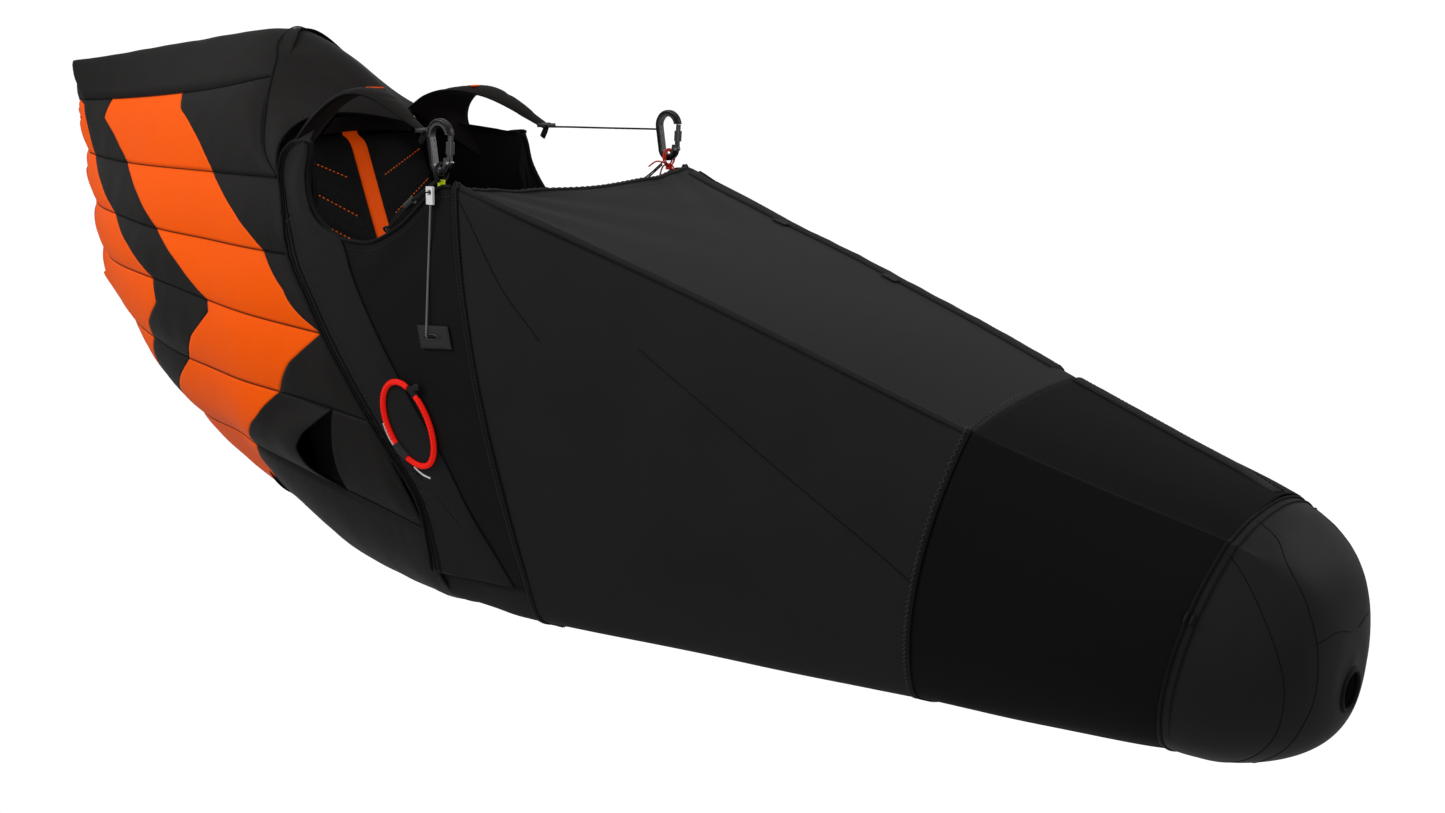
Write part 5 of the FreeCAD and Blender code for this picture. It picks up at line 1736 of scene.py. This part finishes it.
def lining_panels():
    """Inner face of the shell beside the seat, and the lining across the opening's rear."""
    for side, label in SIDE_LABEL.items():
        rows, columns = 50, 30
        rear = [(-0.29, -0.122), (-0.28, -0.16), (-0.25, -0.23), (-0.19, -0.32), (-0.13, -0.4)]
        front = [(0.036, -0.122), (0.045, -0.16), (0.055, -0.23), (0.06, -0.32), (0.06, -0.4)]
        uv = ruled(BODY, rear, front, rows, columns)
        points, normal = lay(uv, side, BODY)
        points = points - normal * (0.011 + 0.0015 * ripple(points, 24.0, 12.0)[..., None])
        lining = sheet(f"{label}_lining", points, M["lining"], centre=(0, side * 0.6, -0.2))
        attach(lining, "harness")
    for side, label in SIDE_LABEL.items():
        mirror = np.array([1, side, 1])
        edge_neck = resample([(-0.45, 0.066, 0.066), (-0.404, 0.098, 0.06), (-0.352, 0.15, 0.05),
                              (-0.3, 0.204, 0.038)], 30) * mirror
        edge_top = resample([(-0.47, 0.14, 0.02), (-0.4, 0.16, 0.03), (-0.34, 0.19, 0.035),
                             (-0.284, 0.214, 0.036)], 30) * mirror
        edge_low = resample([(-0.4, 0.212, -0.14), (-0.33, 0.224, -0.12), (-0.264, 0.23, -0.1)], 30) * mirror
        rows = [edge_neck * (1 - share) + edge_top * share for share in np.linspace(0, 0.9, 8)]
        rows += [edge_top * (1 - share) + edge_low * share for share in np.linspace(0, 1, 24)]
        inside = (-0.3, side * 0.6, -0.05)
        panel = sheet(f"{label}_shoulder_lining", np.array(rows), M["black"], centre=inside)
        attach(panel, "harness")
    grid = []
    for share in np.linspace(0.02, 0.98, 40):
        x, _, z = back_point(share, 0.0, -0.034)
        half = float(fairing_half(np.array([[x, 0.0, z]]))[0]) - 0.016
        grid.append([(x + 0.02 * (k * k), half * k, z + 0.004 * k * k) for k in np.linspace(-1, 1, 30)])
    wall = sheet("back_wall", np.array(grid), M["lining"], centre=(-0.9, 0, -0.2))
    attach(wall, "harness")


def arm_surround(side):
    """Padded rim of the arm hole, from the strap's base under the arm and up to the hang loop."""
    label = SIDE_LABEL[side]
    path = resample(WING_TOP[:-1] + ARM_RIM[2:-1], 110)
    uv = BODY.find(path)
    points, normal = lay(uv, side, BODY)
    roll = tube(f"{label}_rim_roll", points - normal * 0.0062, 0.004, M["lining"], sides=12, flat=1.0)
    attach(roll, "harness")
    inner_rows = []
    for depth in np.linspace(0, 1, 8):
        drop = np.array([0.0, 0.0, -0.002 - 0.055 * depth])
        inner_rows.append(points - normal * (0.009 + 0.01 * depth) + drop)
    facing = sheet(f"{label}_rim_facing", np.array(inner_rows), M["lining"], centre=(0, side * 0.6, 0))
    attach(facing, "harness")


# ---------------------------------------------------------------- hardware and cords

def hang_loops():
    """Soft loops that carry the carabiners: three turns of cord with a wrapped throat and loose ends."""
    for side, label in SIDE_LABEL.items():
        material = M["lime"] if side == RIGHT else M["red_cord"]
        centre = np.array([0.0, side * HANG_HALF, 0.0045])
        angles = full_turn(48)
        pieces = []
        for shift, radius in ((-0.0022, 0.0108), (0.0022, 0.0112), (0.0, 0.0128)):
            ring = [centre + np.array([shift, radius * math.cos(a), radius * math.sin(a) * 1.02])
                    for a in angles]
            turn_material = material if side == LEFT else M["cord_black"]
            pieces.append(tube("turn", ring, 0.0013, turn_material, sides=8, closed=True))
        for k in range(4):
            z = -0.003 - k * 0.0021
            wrap = [centre + np.array([0.0042 * math.cos(a), 0.0042 * math.sin(a), z - 0.0075])
                    for a in angles]
            pieces.append(tube("wrap", wrap, 0.0012, material, sides=8, closed=True))
        if side == LEFT:
            for dx, dy, dz in ((-0.03, -0.012, -0.008), (-0.022, 0.004, -0.024), (0.016, -0.004, -0.022)):
                end = centre + np.array([dx, dy, dz - 0.006])
                start = centre + above(-0.01)
                bend = (start + end) / 2 + np.array([dx * 0.1, 0, 0.006])
                pieces.append(tube("end", resample([start, bend, end], 14), 0.0012, material, sides=8))
        else:
            start = centre + above(-0.01)
            end = centre + np.array([-0.004, -0.004, -0.036])
            bend = (start + end) / 2 + np.array([-0.003, 0, 0])
            pieces.append(tube("end", resample([start, bend, end], 12), 0.0016, material, sides=8))
        loop = join(f"{label}_hang_loop_cord", pieces)
        attach(loop, "harness", f"{label}_hang_loop")


def side_cords():
    """Trim cord with its lock at each side, and the sternum cord from the strap's clip to the hang loop."""
    for side, label in SIDE_LABEL.items():
        trims = []
        for gap in (-0.0016, 0.0016):
            path = [(-0.01, side * 0.236, -0.005 + gap), (-0.035, side * 0.239, -0.022 + gap),
                    (-0.062, side * 0.24, -0.039 + gap), (-0.084, side * 0.243, -0.058 + gap * 1.5),
                    (-0.104, side * 0.244, -0.077 + gap)]
            trims.append(tube("strand", resample(path, 40), 0.0012, M["cord_black"], sides=8))
        knot_centre = np.array([-0.104, side * 0.244, -0.077])
        knot = [knot_centre + np.array([0.004 * math.cos(a), 0.002 * math.sin(2 * a), 0.004 * math.sin(a)])
                for a in full_turn(30)]
        trims.append(tube("knot", knot, 0.0018, M["cord_black"], sides=8, closed=True))
        trim = join(f"{label}_trim_cord", trims)
        attach(trim, "harness", "trim_cords" if side == RIGHT else None)
        sternum_path = [(-0.138, side * 0.124, 0.051), (-0.115, side * 0.146, 0.0505),
                        (-0.08, side * 0.18, 0.049), (-0.029, side * 0.231, 0.047),
                        (-0.016, side * 0.2385, 0.0465)]
        cord = tube("cord", resample(sternum_path, 60), 0.0014, M["cord_black"], sides=8)
        knot_centre = np.array([-0.017, side * 0.2385, 0.0465])
        knot = [knot_centre + 0.0028 * np.array([math.sin(a), math.cos(a), 0.5 * math.sin(2 * a)])
                for a in full_turn(24)]
        knot_piece = tube("knot", knot, 0.0013, M["cord_black"], sides=8, closed=True)
        sternum = join(f"{label}_sternum_cord", [cord, knot_piece])
        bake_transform(sternum)
        if side == RIGHT:
            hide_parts("sternum_cords")
        attach(sternum_clip(side), "harness", "sternum_clips" if side == RIGHT else None)


def sternum_clip(side):
    """Small ladder buckle at the strap's tip."""
    tip = np.array([-0.146, side * 0.127, 0.053])
    corners = (((-0.011, -0.01, -0.002), (-0.007, 0.01, 0.003)),
               ((0.006, -0.01, -0.003), (0.01, 0.01, 0.002)),
               ((-0.011, -0.01, -0.003), (0.01, -0.007, 0.003)),
               ((-0.011, 0.007, -0.003), (0.01, 0.01, 0.003)),
               ((-0.003, -0.009, -0.001), (0.001, 0.009, 0.004)))
    bars = [rounded_box("bar", tip + low, tip + high, 0.001, M["plastic"]) for low, high in corners]
    end_path = [tip + step for step in ((0, 0, -0.001), (-0.003, 0, -0.008), (-0.009, 0, -0.018))]
    bars.append(tube("loose_end", end_path, 0.0055, M["webbing"], sides=10, flat=0.3, up=(0, 1, 0)))
    return join(f"{SIDE_LABEL[side]}_sternum_clip", bars)


LINE_X = -0.005
SLOT_Z = -0.214
HOOK_Z = -0.037


def body_half(z):
    """Half-width of the body beside the hang points, at a height."""
    uv = BODY.find([(0.0, z)])[0]
    return -BODY.point(uv[0], uv[1])[1]


def speed_lines():
    for side, label in SIDE_LABEL.items():
        top = np.array([LINE_X, side * (body_half(-0.036) + 0.007), HOOK_Z + 0.002])
        slot = np.array([LINE_X, side * (body_half(SLOT_Z) + 0.0062), SLOT_Z + 0.002])
        mouth = np.array([LINE_X, side * (body_half(SLOT_Z) - 0.004), SLOT_Z - 0.001])
        straight = [top + (slot - top) * k for k in np.linspace(0, 1, 30)]
        line = tube(f"{label}_speed_line_outer", straight + [mouth], 0.0014, M["cord_grey"], sides=8)
        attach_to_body(line, "harness")
        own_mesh(line)
        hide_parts(f"{label}_speed_line")
        inner_path = [mouth, (LINE_X, side * 0.236, -0.234), (LINE_X, side * 0.214, -0.29),
                      (LINE_X, side * 0.21, -0.33), (LINE_X, side * 0.21, -0.428)]
        turn = [(0.0087 - 0.0137 * math.cos(a), side * 0.21, -0.43 - 0.0137 * math.sin(a))
                for a in np.linspace(0.1, math.pi / 2, 8)]
        forward = [(x, side * y, -0.4437) for x, y in ((0.06, 0.208), (0.3, 0.179), (0.627, 0.138))]
        path = [tuple(p) for p in resample(inner_path, 40)] + turn + [tuple(p) for p in resample(forward, 60)]
        inner = tube(f"{label}_speed_line_inner", path, 0.0014, M["cord_grey"], sides=6)
        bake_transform(inner)


SLOT_MIDDLE, SLOT_HALF = 0.42, 0.27      # along the patch, as shares of its length


def line_patches():
    """Rounded patch with a bound slot where each speed line goes in, and an embossed border."""
    for side, label in SIDE_LABEL.items():
        count_x, count_z = 25, 19
        corners = [(-0.024, SLOT_Z + 0.0155), (0.033, SLOT_Z + 0.018), (0.039, SLOT_Z - 0.012),
                   (-0.018, SLOT_Z - 0.0155)]
        s, t = np.meshgrid(np.linspace(0, 1, count_x), np.linspace(0, 1, count_z), indexing="ij")
        first, second, third, fourth = np.array(corners)
        along, down = s[..., None], t[..., None]
        top = first * (1 - along) + second * along
        low = fourth * (1 - along) + third * along
        xz = top * (1 - down) + low * down
        uv = BODY.find(xz.reshape(-1, 2)).reshape(count_x, count_z, 2)
        points, normal = lay(uv, side, BODY)
        border = np.minimum(np.minimum(s, 1 - s) * 1.8, np.minimum(t, 1 - t))
        slot_mark = np.exp(-((s - SLOT_MIDDLE) / 0.28) ** 6) * np.exp(-((t - 0.5) / 0.08) ** 2)
        lift = 0.0034 + 0.0008 * smooth((border - 0.02) * 12) - 0.0018 * slot_mark
        patch = sheet(f"{label}_line_patch", points + normal * lift[..., None], M["patch"])
        edge = np.vstack([points[:, 0], points[-1, 1:], points[-2::-1, -1], points[0, -2:0:-1]])
        edge = edge + np.array([0, side * 0.004, 0])
        stitches = stitch_row("stitches", resample(edge, 120, bend=False), M["thread_grey"])
        slot_path = []
        for a in full_turn(36):
            sx, tz = SLOT_MIDDLE + SLOT_HALF * math.cos(a), 0.5 + 0.1 * math.sin(a)
            i, j = sx * (count_x - 1), tz * (count_z - 1)
            slot_path.append(points[int(round(i)), int(round(j))] + np.array([0, side * 0.0042, 0]))
        bound = tube("bound", resample(slot_path, 48), 0.0008, M["plastic"], sides=8)
        # painted shade: a flattened cord of black cloth lies in the slot and stands for its opening, which is
        # dark partly from the black inside and partly from shade
        row = (count_z - 1) // 2
        reach = [int(round((SLOT_MIDDLE + k * SLOT_HALF * 0.8) * (count_x - 1))) for k in (-1, 1)]
        inside = points[reach[0]:reach[1] + 1, row] + np.array([0, side * 0.0032, 0])
        dark = tube("dark", resample(inside, 20), 0.0024, M["black"], sides=10, flat=0.4, up=(0, 1, 0))
        whole = join(f"{label}_line_patch_cloth", [patch, stitches, bound, dark])
        attach(whole, "harness", "line_patches" if side == RIGHT else None)


RING_CENTRE = (-0.058, -0.34)
RING_SIZE = (0.042, 0.061)      # half-width and half-height to the middle of the band
RING_TILT = math.radians(21.0)


def ring_at(angle, grow=0.0):
    """Point on the handle's oval, which leans with its top to the rear."""
    a, b = (RING_SIZE[0] + grow) * math.cos(angle), (RING_SIZE[1] + grow) * math.sin(angle)
    x = RING_CENTRE[0] + a * math.cos(RING_TILT) - b * math.sin(RING_TILT)
    z = RING_CENTRE[1] + a * math.sin(RING_TILT) + b * math.cos(RING_TILT)
    return np.array([x, -(body_side(z) + 0.0062), z])


SIDE_TABLE = []


def body_side(z):
    if not SIDE_TABLE:
        heights = np.linspace(-0.5, -0.15, 60)
        SIDE_TABLE.append((heights, np.array([body_half(h) for h in heights])))
    heights, halves = SIDE_TABLE[0]
    return float(np.interp(z, heights, halves))


def reserve_handle():
    """Padded red oval handle at the right side, with a black grip sleeve, a gap, and two closing pins."""
    pieces = []
    gap = math.radians(40)            # where the band is sewn down under a black keeper
    angles = np.linspace(gap + 0.16, gap - 0.16 + 2 * math.pi, 150)
    band = [ring_at(a) for a in angles]
    pieces.append(tube("band", band, 0.0042, M["red"], sides=14, flat=0.85, up=(0, 1, 0)))
    keeper = [ring_at(a) + np.array([0, 0.001, 0]) for a in np.linspace(gap - 0.26, gap + 0.26, 20)]
    pieces.append(tube("keeper", keeper, 0.0048, M["webbing"], sides=12, flat=0.6, up=(0, 1, 0)))
    grip = [ring_at(a) for a in np.linspace(math.radians(197), math.radians(223), 18)]
    pieces.append(tube("grip", grip, 0.0066, M["patch"], sides=14, flat=0.66, up=(0, 1, 0)))
    for start, end in ((gap + 0.3, math.radians(193)), (math.radians(227), gap - 0.3 + 2 * math.pi)):
        for grow in (-0.0024, 0.0024):
            path = np.array([ring_at(a, grow) for a in np.linspace(start, end, 160)])
            path[:, 1] -= 0.0036
            pieces.append(stitch_row("stitch", path, M["red_dark"], length=0.003, gap=0.0022, radius=0.0004))
    tag = [ring_at(gap, 0.003), ring_at(gap - 0.06, 0.01), ring_at(gap - 0.14, 0.016)]
    pieces.append(tube("tag", resample(tag, 12), 0.005, M["webbing"], sides=10, flat=0.25, up=(0, 1, 0)))
    handle = join("reserve_handle_band", pieces)
    attach(handle, "reserve_handle", "reserve_handle")

    pins = []
    around = [ring_at(math.radians(angle), 0.0068) for angle in (168, 178, 190, 203)]
    below = [np.array([x, -(body_side(z) + 0.0046), z])
             for x, z in ((-0.064, -0.403), (-0.05, -0.412), (-0.036, -0.416))]
    for wire in (around, below):
        pins.append(tube("pin", resample(wire, 24), 0.0013, M["pin_white"], sides=10))
    pin_piece = join("closing_pin_wires", pins)
    attach(pin_piece, "reserve_handle", "closing_pins")


def reserve_flap():
    """Edge of the flap that hides the reserve, its small closing loops, and a short pull tab lower down."""
    pieces = []
    flap = [(-0.106, -0.32), (-0.092, -0.371), (-0.07, -0.403), (-0.046, -0.428), (-0.023, -0.457),
            (-0.002, -0.485)]
    path = []
    for x, z in resample(flap, 90):
        path.append((x, -(body_side(z) + 0.0032), z))
    pieces.append(tube("flap_edge", path, 0.0013, M["piping"], sides=8))
    for x, z in ((-0.066, -0.41), (-0.102, -0.342)):
        y = -(body_side(z) + 0.005)
        loop = [np.array([x + 0.0035 * math.cos(a), y - 0.002 * math.sin(a) ** 2, z + 0.0035 * math.sin(a)])
                for a in full_turn(24)]
        pieces.append(tube("loop", loop, 0.001, M["cord_black"], sides=8, closed=True))
    tab = resample([(-0.027, -0.454), (-0.013, -0.471), (0.0, -0.488)], 16)
    tab_path = [(x, -(body_side(z) + 0.003), z) for x, z in tab]
    pieces.append(tube("tab", tab_path, 0.0036, M["webbing"], sides=10, flat=0.22, up=(0, 1, 0)))
    trim = join("reserve_flap_trim", pieces)
    attach(trim, "harness")


def inner_cloths():
    """Cloth skins of the parts hidden inside: the reserve, its container and the foam block."""
    for node, material, depth, slot in (("reserve_pack", "parachute", 0.004, "reserve_cloth"),
                                        ("reserve_container", "black", 0.003, "panel_black")):
        low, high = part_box(node)
        piece = rounded_box(node + "_cloth", low, high, 0.012, M[material], segments=4)
        bulge(piece, depth)
        attach(piece, "harness", node)
    protector = inflate("seat_protector", "seat_protector_cloth", M["foam"], 2.0, 0.004, voxel=0.012)
    attach(protector, "harness", "seat_protector")


def bulge(piece, depth):
    """Softens a box-like cloth: its edges stay, its faces dip and swell a little."""
    subdivide = piece.modifiers.new("finer", "SUBSURF")
    subdivide.subdivision_type = "SIMPLE"
    subdivide.levels = subdivide.render_levels = 3
    apply_modifiers(piece)
    points, normals = points_and_normals(piece)
    set_points(piece, points - normals * (depth * 0.5 * (1 + ripple(points, 30.0, 2.0)))[:, None])


def paint_cad():
    """Finishes of the hard parts that keep their exact CAD shape."""
    finishes = {"anodised": ("right_carabiner", "left_carabiner", "right_gate_sleeve", "left_gate_sleeve"),
                "steel": ("right_gate_pin", "left_gate_pin", "pulley_axles"),
                "aluminium": ("right_gate", "left_gate", "speed_bar"),
                "white": ("right_line_hook", "left_line_hook", "right_sheave", "left_sheave"),
                "plastic": ("chest_buckle", "cord_locks", "zip_slider", "pulley_blocks", "footplate_hangers"),
                "board": ("footplate",),
                "fairing_black": ("fairing_ribs",),
                "lining": ("seat_shell",),
                "webbing": ("reserve_bridle",)}
    for material, names in finishes.items():
        for name in names:
            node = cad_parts[name]
            for index in range(max(len(node.material_slots), 1)):
                if node.material_slots:
                    node.material_slots[index].material = M[material]
                else:
                    node.data.materials.append(M[material])


# ---------------------------------------------------------------- stage, light and camera

def stage():
    floor_mesh = bpy.data.meshes.new("floor")
    floor_size, floor_z = 40.0, cad_low.z - 0.9
    corners = [(x * floor_size, y * floor_size, floor_z) for x, y in ((-1, -1), (1, -1), (1, 1), (-1, 1))]
    floor_mesh.from_pydata(corners, [], [(0, 1, 2, 3)])
    floor = bpy.data.objects.new("floor", floor_mesh)
    bpy.context.scene.collection.objects.link(floor)
    floor_mesh.materials.append(studio_white("floor_white", 0.5))

    world = bpy.data.worlds.new("studio")
    bpy.context.scene.world = world
    world.use_nodes = True
    tree = world.node_tree
    tree.nodes.clear()
    lit = pale_shader(tree, "ShaderNodeBackground", 1, WORLD_LIGHT)
    seen = pale_shader(tree, "ShaderNodeBackground", 1, SEEN_WHITE)
    split_by_camera(tree, tree.nodes.new("ShaderNodeOutputWorld"), lit, seen)


WORLD_LIGHT, SEEN_WHITE = 0.48, 1.05      # strength that lights the object, and strength that the camera sees


def pale_shader(tree, kind, level, strength=None):
    """Grey or white shader node."""
    node = tree.nodes.new(kind)
    node.inputs[0].default_value = (*grey(level), 1)
    if strength is not None:
        node.inputs[1].default_value = strength
    return node


def split_by_camera(tree, output, lit, seen):
    """Shows the camera one shader and lights the object with the other."""
    path = tree.nodes.new("ShaderNodeLightPath")
    mix = tree.nodes.new("ShaderNodeMixShader")
    tree.links.new(path.outputs["Is Camera Ray"], mix.inputs[0])
    tree.links.new(lit.outputs[0], mix.inputs[1])
    tree.links.new(seen.outputs[0], mix.inputs[2])
    tree.links.new(mix.outputs[0], output.inputs[0])


def studio_white(name, albedo):
    """Pale surface that reads as clean white to the camera and lights the object only softly."""
    material = bpy.data.materials.new(name)
    material.use_nodes = True
    tree = material.node_tree
    tree.nodes.clear()
    lit = pale_shader(tree, "ShaderNodeBsdfDiffuse", albedo)
    seen = pale_shader(tree, "ShaderNodeEmission", 1, SEEN_WHITE)
    split_by_camera(tree, tree.nodes.new("ShaderNodeOutputMaterial"), lit, seen)
    return material


def area_light(name, place, target, size, power):
    light = bpy.data.lights.new(name, "AREA")
    light.shape = "RECTANGLE"
    light.size, light.size_y = size
    light.energy = power
    holder = bpy.data.objects.new(name, light)
    bpy.context.scene.collection.objects.link(holder)
    holder.location = place
    holder.rotation_mode = "QUATERNION"
    holder.rotation_quaternion = (Vector(target) - Vector(place)).to_track_quat("-Z", "Y")


def lights():
    area_light("key", (-2.2, -3.2, 2.6), (-0.3, 0, -0.2), (2.4, 2.0), 112)
    area_light("top", (0.6, 0.8, 3.2), (0.3, 0, -0.3), (3.0, 2.0), 36)
    area_light("rim", (3.0, 2.4, 1.8), (0.8, 0, -0.4), (1.6, 1.6), 40)
    area_light("fill", (3.4, -3.0, 0.6), (0.4, 0, -0.3), (2.6, 2.0), 26)


CAMERA_PLACE = (1.932, -2.138, 0.167)
CAMERA_TURN, CAMERA_DIP = 37.57, 10.11      # degrees left of +Y, and degrees below level
CAMERA_LENS = 50.0


def camera():
    data = bpy.data.cameras.new("camera")
    data.lens = CAMERA_LENS
    data.sensor_width = 36.0
    data.clip_end = 200.0
    holder = bpy.data.objects.new("camera", data)
    bpy.context.scene.collection.objects.link(holder)
    turn, dip = math.radians(CAMERA_TURN), math.radians(CAMERA_DIP)
    ahead = Vector((-math.sin(turn) * math.cos(dip), math.cos(turn) * math.cos(dip), -math.sin(dip)))
    right = Vector((math.cos(turn), math.sin(turn), 0))
    up = right.cross(ahead)
    holder.matrix_world = Matrix.Translation(CAMERA_PLACE) @ Matrix((right, up, -ahead)).transposed().to_4x4()
    bpy.context.scene.camera = holder
    bpy.context.scene.view_settings.view_transform = "Standard"


# ---------------------------------------------------------------- build

for build_side in (RIGHT, LEFT):
    fairing_rows(build_side)
    fairing_seams(build_side)
top_band()
hood()
for build_side in (RIGHT, LEFT):
    collar_panel(build_side)
    side_panel(build_side)
    arm_surround(build_side)
    shoulder_strap(build_side)
under_panel()
zip_strip()
deck_grid = pod_panels()
sleeve_piece = sleeve_and_nose()
zip_flap(bpy.data.objects["pod_deck_cloth"], sleeve_piece)
pod_trims(deck_grid)
nose_trims()
vent_rim()
back_and_seat()
webbing_inside()
lining_panels()
hang_loops()
side_cords()
speed_lines()
line_patches()
reserve_handle()
reserve_flap()
inner_cloths()
paint_cad()
stage()
lights()
camera()
